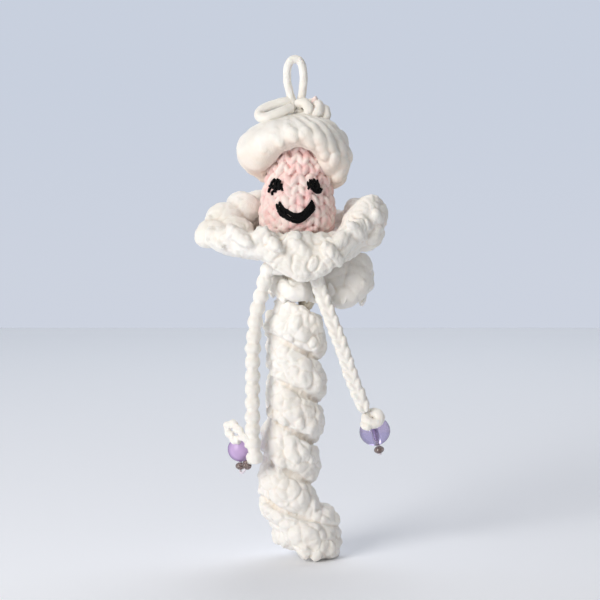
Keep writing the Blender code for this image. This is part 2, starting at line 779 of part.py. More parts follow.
band_half = tail_band_height / 2
winding_rings = []
winding_line = []
winding_steps = round(24 * tail_turns)
for k in range(winding_steps + 1):
    share = k / winding_steps
    turn = radians(tail_start_angle) + 2 * pi * tail_turns * share
    height = tail_top + tail_rise - tail_pitch * tail_turns * share
    size = eased(((0.0, 0.20), (0.035, 1.0), (0.95, 1.0), (1.0, 0.55)), share)
    foot = eased(((0.0, 0.0), (0.80, 0.0), (0.90, 1.0), (1.0, 0.6)), share)
    outer = tail_radius + (tail_foot_radius - tail_radius) * foot
    inner = core_radius_in_tail + touching_gap
    thick = (outer - inner) / 2 * (0.55 + 0.45 * size)
    middle = inner + thick
    out = Vector((cos(turn), sin(turn), 0))
    winding_line.append(tail_centre(height) + out * middle)
    ring = []
    for j in range(tube_sides):
        a = 2 * pi * j / tube_sides
        level = height + band_half * size * sin(a)
        ring.append(tail_centre(level) + out * (middle + thick * cos(a)))
    winding_rings.append(ring)
lofted("tail_spiral", winding_rings, cream_yarn)
end_radius = core_radius_in_tail - touching_gap
end_centre = tail_centre(tail_top - tail_core_length) - Vector((0, 0, touching_gap + tail_end_length / 2))
turned("tail_end_knot", ball_profile(end_radius, tail_end_length), cream_yarn, knot_sides, end_centre)

turn_drops = [abs(below.z - above.z) for above, below in zip(winding_line, winding_line[24:])]
least = min(turn_drops) - tail_band_height
print("least gap between turns of the tail:", round(least, 6))


def beaded(name, centre, diameter, height, bore, axis, finish, sides=bead_sides, steps=10):
    return turned(
        name, bored_ball_profile(diameter / 2, height, bore / 2, steps), finish, sides, centre, axis
    )


# Left hand: a strand hooked over the bead, and a thread down through the bead and two seed beads
knot_radius = knot_strand_diameter / 2
thread_radius = thread_diameter / 2
left_end = left_arm_points[-1]
left_bead_centre = left_end + Vector((left_bead_across, left_bead_back, left_bead_up))
left_bead_radius = left_bead_diameter / 2
hook = left_bead_radius + knot_radius + touching_gap
left_hook_shares = (
    (0.18, -0.88, 0.74), (-0.14, -0.70, 1.08), (-0.54, -0.47, 1.40), (-0.80, -0.22, 1.22),
    (-0.72, -0.05, 0.86),
)
left_hook_points = [left_bead_centre + hook * Vector(place) for place in left_hook_shares]
cord("left_hand_knot", smooth_route(left_hook_points, route_step / 2), knot_strand_diameter, cream_yarn)
seed_half = seed_bead_height / 2
seed_drop = left_bead_radius + touching_gap + seed_half
left_seed_centre = left_bead_centre - Vector((0, 0, seed_drop))
front_seed_shares = (0.54, -0.99, -1.09)
front_seed_centre = left_bead_centre + left_bead_radius * Vector(front_seed_shares)
thread_foot = left_seed_centre - Vector((0, 0, seed_half + thread_diameter))
thread_turn = thread_foot + Vector((seed_half / 2, -seed_half, -thread_radius))
front_axis = (front_seed_centre - thread_turn).normalized()
thread_head_shares = (-0.14, -0.31, 1.13)
thread_head = left_bead_centre + hook * Vector(thread_head_shares)
left_thread = [
    thread_head,
    left_bead_centre + Vector((0, 0, left_bead_radius + thread_radius)),
    left_bead_centre + Vector((0, 0, left_bead_radius / 2)),
    left_bead_centre,
    left_bead_centre - Vector((0, 0, left_bead_radius / 2)),
    left_seed_centre,
    thread_foot,
    thread_turn,
    front_seed_centre - front_axis * seed_half / 2,
    front_seed_centre + front_axis * (seed_half + thread_radius),
]
cord("left_bead_thread", smooth_route(left_thread, thread_diameter), thread_diameter, thread)
up_axis = Vector((0, 0, 1))
beaded(
    "left_bead", left_bead_centre, left_bead_diameter, left_bead_diameter, bead_bore, up_axis, lavender_glass
)
beaded(
    "left_seed_bead_lower", left_seed_centre, seed_bead_diameter, seed_bead_height, seed_bead_bore, up_axis,
    smoky_glass, tube_sides, 6,
)
beaded(
    "left_seed_bead_front", front_seed_centre, seed_bead_diameter, seed_bead_height, seed_bead_bore,
    front_axis, smoky_glass, tube_sides, 6,
)

# Right hand: a yarn ring over the bead, and a thread down through the bead and a seed bead
right_end = right_arm_points[-1]
right_bead_centre = right_end + Vector((right_bead_across, right_bead_back, -right_bead_down))
bead_axis = Vector((-right_bead_lean, 0, right_bead_height)).normalized()
ring_out_shares = (-0.155, -0.77, 0.62)
ring_out = Vector(ring_out_shares).normalized()
ring_centre = right_bead_centre + ring_out * ring_reach
ring_radius = (ring_opening + knot_strand_diameter) / 2
ring_up = (up_axis - ring_out * ring_out.z).normalized()
ring_side = ring_up.cross(ring_out)
ring_points = []
for k in range(16):
    a = 2 * pi * k / 16
    ring_points.append(ring_centre + ring_radius * (ring_side * cos(a) + ring_up * sin(a)))
cord("right_hand_ring", ring_points, knot_strand_diameter, cream_yarn, cyclic=True)
bead_half = right_bead_height / 2
ring_crown = ring_centre + ring_up * ring_radius
thread_start_shares = (-0.05, 0.98, 0.18)
thread_out = Vector(thread_start_shares).normalized()
thread_start = ring_crown + thread_out * (knot_radius + thread_radius + touching_gap)
right_seed_centre = right_bead_centre - bead_axis * (bead_half + touching_gap + seed_half)
right_thread = [
    thread_start,
    right_bead_centre + bead_axis * (bead_half + thread_radius),
    right_bead_centre + bead_axis * bead_half / 2,
    right_bead_centre,
    right_bead_centre - bead_axis * bead_half / 2,
    right_seed_centre,
    right_seed_centre - bead_axis * (seed_half + thread_radius),
]
cord("right_bead_thread", smooth_route(right_thread, thread_diameter), thread_diameter, thread)
beaded(
    "right_bead", right_bead_centre, right_bead_diameter, right_bead_height, bead_bore, bead_axis, purple_glass
)
beaded(
    "right_seed_bead", right_seed_centre, seed_bead_diameter, seed_bead_height, seed_bead_bore, bead_axis,
    smoky_glass, tube_sides, 6,
)

for label, place in (
    ("stopper", stopper_centre), ("waist", waist_centre), ("left shoulder", left_pivot),
    ("right shoulder", right_pivot), ("left end", left_end), ("right end", right_end),
    ("left bead", left_bead_centre), ("right bead", right_bead_centre), ("right bead axis", bead_axis),
    ("left hook", left_hook_points[0]), ("neck", (body_offset, 0, head_bottom)),
    ("right wrist", right_end + Vector((0, 0, wrist_setback))),
):
    print(label, [round(value, 6) for value in place])
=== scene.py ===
import random
from functools import partial
from math import atan2, cos, pi, radians, sin, sqrt

import bmesh
import bpy
from mathutils import Matrix, Vector, noise


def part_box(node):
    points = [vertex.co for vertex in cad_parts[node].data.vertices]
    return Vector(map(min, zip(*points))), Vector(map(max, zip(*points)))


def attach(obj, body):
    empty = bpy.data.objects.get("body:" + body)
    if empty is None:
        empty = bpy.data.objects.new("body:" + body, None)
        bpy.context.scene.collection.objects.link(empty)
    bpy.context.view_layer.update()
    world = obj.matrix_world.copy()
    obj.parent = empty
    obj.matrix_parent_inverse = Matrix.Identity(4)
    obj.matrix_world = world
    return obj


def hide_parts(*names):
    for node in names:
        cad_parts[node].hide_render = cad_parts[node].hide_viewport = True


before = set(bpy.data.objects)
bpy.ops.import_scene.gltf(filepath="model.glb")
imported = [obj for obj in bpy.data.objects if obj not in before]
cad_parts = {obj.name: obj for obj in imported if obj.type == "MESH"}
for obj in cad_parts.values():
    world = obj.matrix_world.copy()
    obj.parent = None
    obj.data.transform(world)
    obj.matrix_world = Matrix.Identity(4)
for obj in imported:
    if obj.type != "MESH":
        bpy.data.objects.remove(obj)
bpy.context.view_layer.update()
# without a seed the noise vectors of the reliefs start from the clock
noise.seed_set(7)

mm = 0.001
fineStep = 0.0003
evenStep = 0.0004
tiny = 1e-6
frontward = Vector((0, -1, 0))
upward = Vector((0, 0, 1))


def curveValue(a, b, c, d, t):
    # smooth value between b and c, with a and d as their neighbours
    return 0.5 * (2 * b + (c - a) * t + (2 * a - 5 * b + 4 * c - d) * t**2 + (3 * b - a - 3 * c + d) * t**3)


def rowsAt(rows, place, cyclic=False):
    # smooth values between the rows of a table whose first column is the place
    count = len(rows)
    if cyclic:
        place %= 360
        i = max(k for k in range(count) if rows[k][0] <= place)
        four = [rows[(i + k) % count] for k in (-1, 0, 1, 2)]
        t = (place - four[1][0]) / ((four[2][0] - four[1][0]) % 360)
    else:
        place = min(max(place, rows[0][0]), rows[-1][0])
        i = min(max(k for k in range(count) if rows[k][0] <= place), count - 2)
        four = [rows[min(max(i + k, 0), count - 1)] for k in (-1, 0, 1, 2)]
        t = (place - four[1][0]) / (four[2][0] - four[1][0])
    return [curveValue(*values, t) for values in zip(*(row[1:] for row in four))]


def millimetres(points):
    return [Vector(p) * mm for p in points]


def runLengths(points):
    # distance along a line of points, up to each of them
    lengths = [0]
    for here, there in zip(points, points[1:]):
        lengths.append(lengths[-1] + (there - here).length)
    return lengths


def smoothRoute(points, step):
    # even points on the smooth curve through given ones
    points = [Vector(p) for p in points]
    ends = [2 * points[0] - points[1], *points, 2 * points[-1] - points[-2]]
    fine = []
    for four in zip(ends, ends[1:], ends[2:], ends[3:]):
        fine += [curveValue(*four, k / 16) for k in range(16)]
    fine.append(points[-1])
    lengths = runLengths(fine)
    count = max(2, round(lengths[-1] / step))
    even, i = [], 1
    for k in range(count + 1):
        wanted = lengths[-1] * k / count
        while i < len(lengths) - 1 and lengths[i] < wanted:
            i += 1
        share = (wanted - lengths[i - 1]) / (lengths[i] - lengths[i - 1])
        even.append(fine[i - 1].lerp(fine[i], min(1, share)))
    return even


def aheadAt(points, k):
    # direction of a line of points at one of them
    return points[min(k + 1, len(points) - 1)] - points[max(k - 1, 0)]


def axesAt(along, out):
    # turn with its X along a direction and its Z as near to out as can be
    along = along.normalized()
    side = out.cross(along)
    if side.length < tiny:
        side = along.orthogonal()
    side.normalize()
    return Matrix((along, side, along.cross(side))).transposed().to_4x4()


def around(turn, height=0.0):
    # direction at an angle round the upright axis
    return Vector((cos(turn), sin(turn), height))


def grain(bm, place, along, out, size, rounds=2):
    # one plump stitch: size is its length, width and thickness
    matrix = Matrix.Translation(place) @ axesAt(along, out) @ Matrix.Diagonal((*size, 1))
    bmesh.ops.create_icosphere(bm, subdivisions=rounds, radius=0.5, matrix=matrix)


def circle(bm, sides, matrix=Matrix.Identity(4)):
    return bmesh.ops.create_circle(bm, cap_ends=False, segments=sides, radius=1, matrix=matrix)["verts"]


def joinRings(bm, rings, closed=False):
    # skin from ring to ring, joined round to the first one or capped at both ends
    pairs = list(zip(rings, rings[1:])) + ([(rings[-1], rings[0])] if closed else [])
    for near, far in pairs:
        edges = []
        for ring in (near, far):
            touching = {e for v in ring for e in v.link_edges}
            edges += [e for e in touching if all(v in ring for v in e.verts)]
        bmesh.ops.bridge_loops(bm, edges=edges)
    if not closed:
        for ring in (rings[0], rings[-1]):
            bmesh.ops.contextual_create(bm, geom=list(ring))


def tube(bm, points, radius, sides=12, closed=False):
    # round cord along points; radius is a number or a function of the share of the way
    spokes = radius if callable(radius) else (lambda share: radius)
    count = len(points)
    out = Vector((0, -1, 0.01))
    rings = []
    for k, point in enumerate(points):
        ahead = points[(k + 1) % count] - points[k - 1] if closed else aheadAt(points, k)
        turn = axesAt(ahead, out)
        out = Vector(turn.col[2][:3])
        size = spokes(k / (count - 1))
        shape = turn @ Matrix.Rotation(pi / 2, 4, "Y") @ Matrix.Diagonal((size, size, 1, 1))
        rings.append(circle(bm, sides, Matrix.Translation(point) @ shape))
    joinRings(bm, rings, closed)


def spun(bm, profile, centre, axis=(0, 0, 1), sides=48):
    # solid of revolution from (radius, height) points
    start = len(bm.verts)
    points = [bm.verts.new((r, 0, h)) for r, h in profile]
    edges = [bm.edges.new(pair) for pair in zip(points, points[1:])]
    if profile[0][0] > 0:
        edges.append(bm.edges.new((points[-1], points[0])))
    whole = {"cent": (0, 0, 0), "axis": (0, 0, 1), "angle": 2 * pi}
    bmesh.ops.spin(bm, geom=points + edges, steps=sides, use_merge=True, **whole)
    bm.verts.ensure_lookup_table()
    bmesh.ops.remove_doubles(bm, verts=bm.verts[start:], dist=tiny)
    bm.verts.ensure_lookup_table()
    turn = upward.rotation_difference(Vector(axis)).to_matrix().to_4x4()
    bmesh.ops.transform(bm, matrix=Matrix.Translation(centre) @ turn, verts=bm.verts[start:])


def addPiece(name, bm, finish, smooth=True):
    bmesh.ops.recalc_face_normals(bm, faces=bm.faces)
    mesh = bpy.data.meshes.new(name)
    bm.to_mesh(mesh)
    bm.free()
    if smooth:
        mesh.shade_smooth()
    mesh.materials.append(finish)
    item = bpy.data.objects.new(name, mesh)
    bpy.context.scene.collection.objects.link(item)
    return item


def puffs(place, size):
    # plump cushions with a tight fold between them, from 0 in the fold to about 1
    swirl = noise.noise_vector(place / (size * 1.4)) * size * 0.25
    return min(1, 1.7 * abs(noise.noise((place + swirl) / size)) ** 0.62)


def pillows(place, size):
    # round cushions packed side by side, about 1 on each crown and 0 in the seams between them
    swirl = noise.noise_vector(place / (size * 1.3)) * size * 0.35
    near, second = noise.voronoi((place + swirl) / size)[0][:2]
    seam = min(1, (second - near) / 0.45)
    return 0.6 * (1 - min(1, (near / 0.85) ** 2)) + 0.4 * seam * (2 - seam)


def bell(value):
    # 1 at zero, falling off to both sides
    return 2.718 ** (-(value**2))


def folds(place, size, width):
    # a few thin wandering creases, 1 in the crease and 0 beside it
    mask = min(1, max(0, 0.5 + 2.2 * noise.noise(place / (size * 1.7) + Vector((7, 3, 5)))))
    return mask * bell(noise.noise(place / size) / width)


def settled(item, name, *changes):
    # apply a short stack of modifiers given as (kind, settings)
    for kind, settings in changes:
        step = item.modifiers.new(kind.lower(), kind)
        for key, value in settings.items():
            setattr(step, key, value)
    bpy.context.view_layer.update()
    graph = bpy.context.evaluated_depsgraph_get()
    mesh = bpy.data.meshes.new_from_object(item.evaluated_get(graph))
    item.modifiers.clear()
    item.data = mesh
    mesh.name = name
    return mesh


def felted(name, bm, finish, size=0.00022, rounds=4, lumps=0.0, lumpSize=0.004, relief=None, after=1):
    # melt overlapping stitches into one skin, soften it and push its relief out along the normals
    item = addPiece(name, bm, finish)
    melt = {"mode": "VOXEL", "voxel_size": size, "use_smooth_shade": True}
    mesh = settled(item, name, ("REMESH", melt), ("SMOOTH", {"factor": 0.5, "iterations": rounds}))
    normals = [v.normal.copy() for v in mesh.vertices]
    for v, n in zip(mesh.vertices, normals):
        push = lumps * noise.noise(v.co / lumpSize) if lumps else 0
        if relief:
            push += relief(v.co)
        v.co += n * push
    mesh = settled(item, name, ("SMOOTH", {"factor": 0.5, "iterations": after}))
    mesh.shade_smooth()
    print(name, len(mesh.polygons), "faces")
    return item


def declare(item, body, slot, *nodes):
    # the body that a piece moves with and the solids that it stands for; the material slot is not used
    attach(item, body)
    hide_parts(*nodes)


def fit(node, values):
    for key, value in values.items():
        node.inputs[key].default_value = value


def nodesOf(name):
    # a new material, its nodes and a maker of nodes from a kind, input values and settings
    mat = bpy.data.materials.new(name)
    mat.use_nodes = True
    nodes = mat.node_tree.nodes

    def new(kind, values=None, **settings):
        node = nodes.new("ShaderNode" + kind)
        for key, value in settings.items():
            setattr(node, key, value)
        fit(node, values or {})
        return node

    return mat, nodes, new


def wire(mat, *joins):
    # link the sockets of nodes, given as (from node, its output, to node, its input)
    for near, outlet, far, inlet in joins:
        mat.node_tree.links.new(near.outputs[outlet], far.inputs[inlet])


def yarn(name, light, mid, creaseShade, blotch=90, under=None):
    # soft matte yarn: slow blotches of colour, painted shade darkening the hollows and creases, fine fibres
    # in the bump, and painted shade on the faces that look down where an under colour is given
    fibre = 2600
    mat, nodes, new = nodesOf(name)
    shader = nodes["Principled BSDF"]
    coords = new("TexCoord")
    slow = new("TexNoise", {"Scale": blotch, "Detail": 3})
    ramp = new("ValToRGB")
    for k, (stop, colour) in enumerate(((0.32, mid), (0.62, light))):
        ramp.color_ramp.elements[k].position = stop
        ramp.color_ramp.elements[k].color = (*colour, 1)
    shape = new("NewGeometry")
    # painted shade: where the surface is hollow the colour runs to the darker crease shade
    creaseShadeMask = new("MapRange", {"From Min": 0.4, "From Max": 0.5})
    mix = new("Mix", {"A": (*creaseShade, 1)}, data_type="RGBA")
    stretch = new("Mapping", {"Scale": (1, 1, 0.45)})
    fine = new("TexNoise", {"Scale": fibre, "Detail": 4, "Roughness": 0.65, "Distortion": 0.6})
    coarse = new("TexNoise", {"Scale": fibre / 5, "Detail": 2})
    add = new("Math", operation="ADD")
    relief = new("Bump", {"Strength": 0.6, "Distance": 0.00025})
    wire(
        mat,
        (coords, "Object", slow, "Vector"), (coords, "Object", stretch, "Vector"),
        (stretch, "Vector", fine, "Vector"), (coords, "Object", coarse, "Vector"),
        (slow, "Fac", ramp, "Fac"), (shape, "Pointiness", creaseShadeMask, "Value"),
        (creaseShadeMask, "Result", mix, "Factor"), (ramp, "Color", mix, "B"), (fine, "Fac", add, 0),
        (coarse, "Fac", add, 1), (add, "Value", relief, "Height"), (relief, "Normal", shader, "Normal"),
    )
    if under:
        # painted shade: faces that look down are multiplied by the under colour
        split = new("SeparateXYZ")
        low = new("MapRange", {"From Min": 0.1, "From Max": -0.75})
        shadeBelow = new("Mix", {"B": (*under, 1)}, data_type="RGBA", blend_type="MULTIPLY")
        wire(
            mat,
            (coords, "Normal", split, "Vector"), (split, "Z", low, "Value"),
            (low, "Result", shadeBelow, "Factor"), (mix, "Result", shadeBelow, "A"),
        )
        mix = shadeBelow
    wire(mat, (mix, "Result", shader, "Base Color"))
    look = {
        "Roughness": 0.85,
        "Sheen Weight": 0.25,
        "Sheen Roughness": 0.5,
        "Specular IOR Level": 0.25,
        "Subsurface Weight": 0.12,
        "Subsurface Radius": (0.0016, 0.0012, 0.0009),
        "Subsurface Scale": 1.0,
    }
    fit(shader, look)
    return mat


def plainMaterial(name, colour, roughness, transmission=0.0, coat=0.0, ior=1.45, texture=0.0, rim=None):
    # glass or thread: clouded colour, with a painted dark reflection towards the outline where a rim colour
    # is given
    mat, nodes, new = nodesOf(name)
    shader = nodes["Principled BSDF"]
    coords = new("TexCoord")
    cloud = new("TexNoise", {"Scale": 420, "Detail": 3})
    shades = {"A": (*[c * 0.86 for c in colour], 1), "B": (*colour, 1)}
    tint = new("Mix", shades, data_type="RGBA")
    relief = new("Bump", {"Strength": texture, "Distance": 0.0001})
    wire(
        mat,
        (coords, "Object", cloud, "Vector"), (cloud, "Fac", tint, "Factor"),
        (cloud, "Fac", relief, "Height"), (relief, "Normal", shader, "Normal"),
    )
    if rim:
        # painted reflection: the colour darkens to the rim colour where the surface turns away from view
        edge = new("LayerWeight", {"Blend": 0.45})
        curve = new("MapRange", {"From Min": 0.3, "From Max": 0.85})
        edgeShade = new("Mix", {"B": (*rim, 1)}, data_type="RGBA")
        wire(
            mat,
            (edge, "Facing", curve, "Value"), (curve, "Result", edgeShade, "Factor"),
            (tint, "Result", edgeShade, "A"),
        )
        tint = edgeShade
    wire(mat, (tint, "Result", shader, "Base Color"))
    fit(shader, {"Roughness": roughness, "Transmission Weight": transmission, "IOR": ior})
    fit(shader, {"Coat Weight": coat, "Coat Roughness": 0.08})
    return mat


# the third colour of each yarn is painted shade for its hollows and creases
creamYarn = yarn("creamYarn", (0.93, 0.905, 0.86), (0.91, 0.875, 0.81), (0.76, 0.66, 0.55))
bodyYarn = yarn("bodyYarn", (0.94, 0.915, 0.875), (0.91, 0.875, 0.82), (0.77, 0.68, 0.57))
hatShades = ((0.93, 0.905, 0.86), (0.91, 0.875, 0.81), (0.78, 0.67, 0.56))
# the hat's under colour is painted shade on its faces that look down
hatYarn = yarn("hatYarn", *hatShades, under=(1.0, 0.91, 0.85))
coreYarn = yarn("coreYarn", (0.94, 0.86, 0.72), (0.88, 0.78, 0.62), (0.62, 0.5, 0.36), blotch=300)
pinkYarn = yarn("pinkYarn", (0.93, 0.8, 0.75), (0.89, 0.57, 0.55), (0.68, 0.36, 0.34), blotch=320)
# the rim colour of each glass is a painted dark reflection at its outline
frosted = {"transmission": 0.15, "coat": 0.3, "texture": 0.1, "rim": (0.2, 0.1, 0.32)}
lavenderGlass = plainMaterial("lavenderGlass", (0.7, 0.5, 0.84), 0.4, **frosted)
clear = {"transmission": 0.9, "ior": 1.5, "rim": (0.07, 0.04, 0.14)}
purpleGlass = plainMaterial("purpleGlass", (0.68, 0.59, 0.84), 0.03, **clear)
smoky = {"transmission": 0.7, "ior": 1.5, "rim": (0.16, 0.1, 0.09)}
smokyGlass = plainMaterial("smokyGlass", (0.46, 0.36, 0.33), 0.1, **smoky)
blackThread = plainMaterial("blackThread", (0.0015, 0.0015, 0.002), 0.72, ior=1.25, texture=0.6)
paleThread = plainMaterial("paleThread", (0.86, 0.8, 0.86), 0.5, texture=0.2)
print("materials made")

# stage, lights and camera come before the pieces
stage = {
    "middle": Vector((0.0016, 0, -0.0749)),
    "pitch": radians(4.0),
    "reach": 0.56,
    "span": 0.192,
    "sensor": 36,
    "nearest": 0.01,
    "floor": -0.1578,
    "wallBack": 0.86,
    "size": (4, 3),
    "glow": 0.22,
}
camData = bpy.data.cameras.new("camera")
camData.sensor_width = stage["sensor"]
camData.lens = stage["sensor"] * stage["reach"] / stage["span"]
camData.clip_start = stage["nearest"]
camera = bpy.data.objects.new("camera", camData)
backing = Vector((0, -cos(stage["pitch"]), sin(stage["pitch"])))
camera.location = stage["middle"] + stage["reach"] * backing
camera.rotation_euler = (pi / 2 - stage["pitch"], 0, 0)
scene = bpy.context.scene
scene.collection.objects.link(camera)
scene.camera = camera
scene.view_settings.view_transform = "Standard"


def backMaterial(name, low, high, lowAt, highAt, axis, glowing):
    # colour that runs from low to high along one axis
    mat, nodes, new = nodesOf(name)
    where = new("NewGeometry")
    parts = new("SeparateXYZ")
    span = new("MapRange", {"From Min": lowAt, "From Max": highAt}, interpolation_type="SMOOTHSTEP")
    ramp = new("Mix", {"A": (*low, 1), "B": (*high, 1)}, data_type="RGBA")
    wire(
        mat,
        (where, "Position", parts, "Vector"), (parts, axis, span, "Value"),
        (span, "Result", ramp, "Factor"),
    )
    shader = nodes["Principled BSDF"]
    # a glowing finish paints its own light instead of being lit
    if glowing:
        glow = new("Emission")
        output = nodes["Material Output"]
        wire(mat, (ramp, "Result", glow, "Color"), (glow, "Emission", output, "Surface"))
    else:
        wire(mat, (ramp, "Result", shader, "Base Color"))
        fit(shader, {"Roughness": 0.9, "Specular IOR Level": 0.1})
    return mat


def flatPiece(name, place, turn, finish):
    bm = bmesh.new()
    shape = Matrix.Diagonal((*stage["size"], 1, 1))
    bmesh.ops.create_grid(bm, x_segments=1, y_segments=1, size=0.5, matrix=shape)
    item = addPiece(name, bm, finish, smooth=False)
    item.location = place
    item.rotation_euler = turn


floorShades = ((0.95, 0.965, 1.0), (0.93, 0.96, 1.0), 0.0, stage["wallBack"], "Y")
# the wall glows with painted backdrop light, a little darker towards its top
wallShades = ((0.61, 0.65, 0.74), (0.58, 0.63, 0.73), stage["floor"], 0.06, "Z")
floorFinish = backMaterial("floorFinish", *floorShades, glowing=False)
wallFinish = backMaterial("wallFinish", *wallShades, glowing=True)
half = stage["size"][1] / 2
flatPiece("floor", (0, stage["wallBack"] - half, stage["floor"]), (0, 0, 0), floorFinish)
flatPiece("wall", (0, stage["wallBack"], stage["floor"] + half), (pi / 2, 0, 0), wallFinish)


def lamp(name, place, target, size, watts, colour):
    data = bpy.data.lights.new(name, "AREA")
    data.shape = "DISK"
    data.size = size
    data.energy = watts
    data.color = colour
    item = bpy.data.objects.new(name, data)
    item.location = place
    item.rotation_euler = (Vector(target) - Vector(place)).to_track_quat("-Z", "Y").to_euler()
    scene.collection.objects.link(item)


lamp("key", (-0.58, -0.64, 0.26), (0, 0, -0.115), 0.55, 6.2, (1.0, 0.98, 0.955))
lamp("fill", (0.7, -0.6, 0.15), (0, 0, -0.08), 0.6, 0.25, (1.0, 0.97, 0.93))
lamp("top", (0.1, 0.55, 0.8), (0, 0.1, -0.15), 0.7, 2.6, (0.97, 0.98, 1.0))
world = bpy.data.worlds.new("world")
world.use_nodes = True
fit(world.node_tree.nodes["Background"], {"Color": (1.0, 0.955, 0.9, 1), "Strength": stage["glow"]})
scene.world = world
print("stage made")

# head: rows of knitted V stitches over the stuffed form
head = {
    "axis": 0.0008,
    "top": -0.0187,
    "height": 0.0354,
    "radius": 0.0117,
    "columns": 14,
    "rows": 10,
    "first": 0.13,
    "last": 0.965,
    "under": 0.00115,
    "sunk": 0.00065,
    "stitch": 0.0026,
    "outline": (
        (0.0, 0.0), (0.006, 0.15), (0.03, 0.3), (0.085, 0.46), (0.17, 0.59), (0.32, 0.735), (0.48, 0.85),
        (0.636, 0.94), (0.763, 0.988), (0.862, 1.0), (0.938, 0.945), (0.98, 0.8), (1.0, 0.5),
    ),
}


def headRadius(share):
    return head["radius"] * rowsAt(head["outline"], share)[0]


def headPlace(angle, share, lift=0.0):
    # place on the head and its outward direction; angle 0 is the face, positive to the right
    radius = headRadius(share)
    slope = (headRadius(share + 0.02) - headRadius(share - 0.02)) / (0.04 * head["height"])
    out = Vector((sin(angle), -cos(angle), slope)).normalized()
    at = Vector((radius * sin(angle), -radius * cos(angle), head["top"] - share * head["height"]))
    return at + Vector((head["axis"], 0, 0)) + out * lift, out


chance = random.Random(7)
bm = bmesh.new()
skin = []
for k in range(25):
    share = k / 24
    inner = headRadius(share) - head["under"] if 0 < k < 24 else 0.0
    skin.append((max(0, inner), head["top"] - share * head["height"]))
spun(bm, skin, (head["axis"], 0, 0))
rowGap = (head["last"] - head["first"]) / (head["rows"] - 1)
for row in range(head["rows"]):
    share = head["first"] + rowGap * row
    drop = rowGap * head["height"]
    columns = head["columns"]
    for column in range(columns):
        angle = 2 * pi * (column + 0.5) / columns + 0.1 * sin(row * 1.7) * (1 - share)
        width = 2 * pi * headRadius(share) / columns
        for leg in (-1, 1):
            turn = angle + leg * width * 0.25 / max(headRadius(share), 0.002)
            at, out = headPlace(turn, share, 0.00025 * chance.uniform(-1, 1) - head["sunk"])
            across = around(turn)
            down = across.cross(out)
            if down.z > 0:
                down = -down
            along = down - leg * across * 0.55 + across * chance.uniform(-0.2, 0.2)
            plump = 1 + 0.16 * chance.uniform(-1, 1)
            grain(bm, at, along, out, (drop * 1.55 * plump, width * 0.52 * plump, head["stitch"] * plump))
headPiece = felted("knittedHead", bm, pinkYarn, size=0.00025, rounds=3, lumps=0.0003, lumpSize=0.004)
declare(headPiece, "head", "pink_yarn", "head_cover", "head_stuffing")


# eyes and mouth: strands of black thread laid side by side
def faceSpot(x, z, lift):
    # place on the face over photo-plane coordinates, x across and z from the top of the head
    share = -z / head["height"]
    radius = headRadius(share)
    angle = atan2(x, sqrt(max(radius**2 - x**2, 1e-8)))
    return headPlace(angle, share, lift)[0]


def sewn(name, strands, thick, node, lift=0.00075):
    # strands of thread side by side, standing a little off the knit
    bm = bmesh.new()
    chance = random.Random(len(name))
    for strand in strands:
        count = len(strand)
        points = []
        high = 0.0003 * chance.uniform(-1, 1)
        for k, (x, z) in enumerate(strand):
            arch = sin(pi * (0.1 + 0.8 * k / (count - 1))) ** 0.5
            points.append(faceSpot(x * mm, z * mm, lift - 0.0009 + 0.0009 * arch + high))
        line = smoothRoute(points, fineStep)
        rough = [p + 0.00016 * noise.noise_vector(p / 0.0009 + Vector((high * 9000, 0, 0))) for p in line]
        tube(bm, rough, thick / 2, sides=10)
        tube(bm, [p + Vector((0, thick * 0.6, 0)) for p in line], thick * 0.56, sides=8)
    declare(addPiece(name, bm, blackThread), "head", "black_thread", node)


leftEyeStrands = (
    ((-6.6, -17.6), (-7.4, -19.0), (-7.9, -20.6)), ((-6.2, -17.7), (-6.9, -19.4), (-7.3, -21.6)),
    ((-5.8, -17.6), (-6.4, -19.4), (-6.6, -21.9)), ((-5.4, -17.8), (-5.8, -19.5), (-5.9, -21.0)),
    ((-5.1, -18.2), (-5.2, -19.6), (-5.3, -21.2)), ((-4.9, -19.2), (-4.7, -20.2), (-4.6, -21.3)),
    ((-7.5, -20.2), (-8.1, -20.9), (-8.6, -21.7)), ((-7.0, -21.2), (-7.3, -21.9), (-7.6, -22.5)),
    ((-7.2, -19.9), (-6.0, -20.0), (-4.7, -20.6)), ((-8.3, -19.9), (-7.2, -20.4), (-6.2, -21.2)),
)
rightEyeStrands = (
    ((3.0, -18.4), (3.2, -19.4), (3.6, -20.4)), ((3.6, -17.7), (3.6, -19.4), (3.2, -20.9)),
    ((4.0, -17.9), (4.5, -19.4), (4.4, -21.1)), ((4.9, -17.5), (4.7, -19.4), (4.0, -21.0)),
    ((5.2, -17.8), (5.5, -19.4), (5.0, -21.3)), ((5.9, -17.9), (5.9, -19.6), (5.6, -21.4)),
    ((3.0, -19.0), (4.6, -18.5), (6.2, -18.8)), ((3.1, -20.3), (4.6, -19.9), (6.4, -20.6)),
    ((6.3, -18.8), (6.5, -19.8), (6.4, -21.2)), ((4.6, -20.9), (5.6, -21.9), (6.7, -21.8), (7.5, -20.8)),
    ((5.2, -21.2), (6.2, -21.4), (7.2, -20.6)),
)
mouthLine = (
    (-6.0, -26.2), (-4.5, -27.9), (-2.7, -29.0), (-0.9, -29.8), (0.9, -29.6), (2.6, -28.3), (3.9, -26.7),
    (4.8, -25.5),
)
mouthStrands = []
for first, last in (
    (-1.3, -0.5), (-0.9, -1.4), (-0.5, 0.2), (-0.1, -0.9), (0.4, 1.0), (0.8, -0.1), (1.2, 0.6),
    (1.4, 1.2), (-1.1, 0.7), (0.1, -1.2),
):
    strand = []
    for k, (x, z) in enumerate(mouthLine):
        lane = first + (last - first) * k / 7
        strand.append((x - lane * 0.3 * (k - 3.5) / 3.5, z + lane))
    mouthStrands.append(strand)
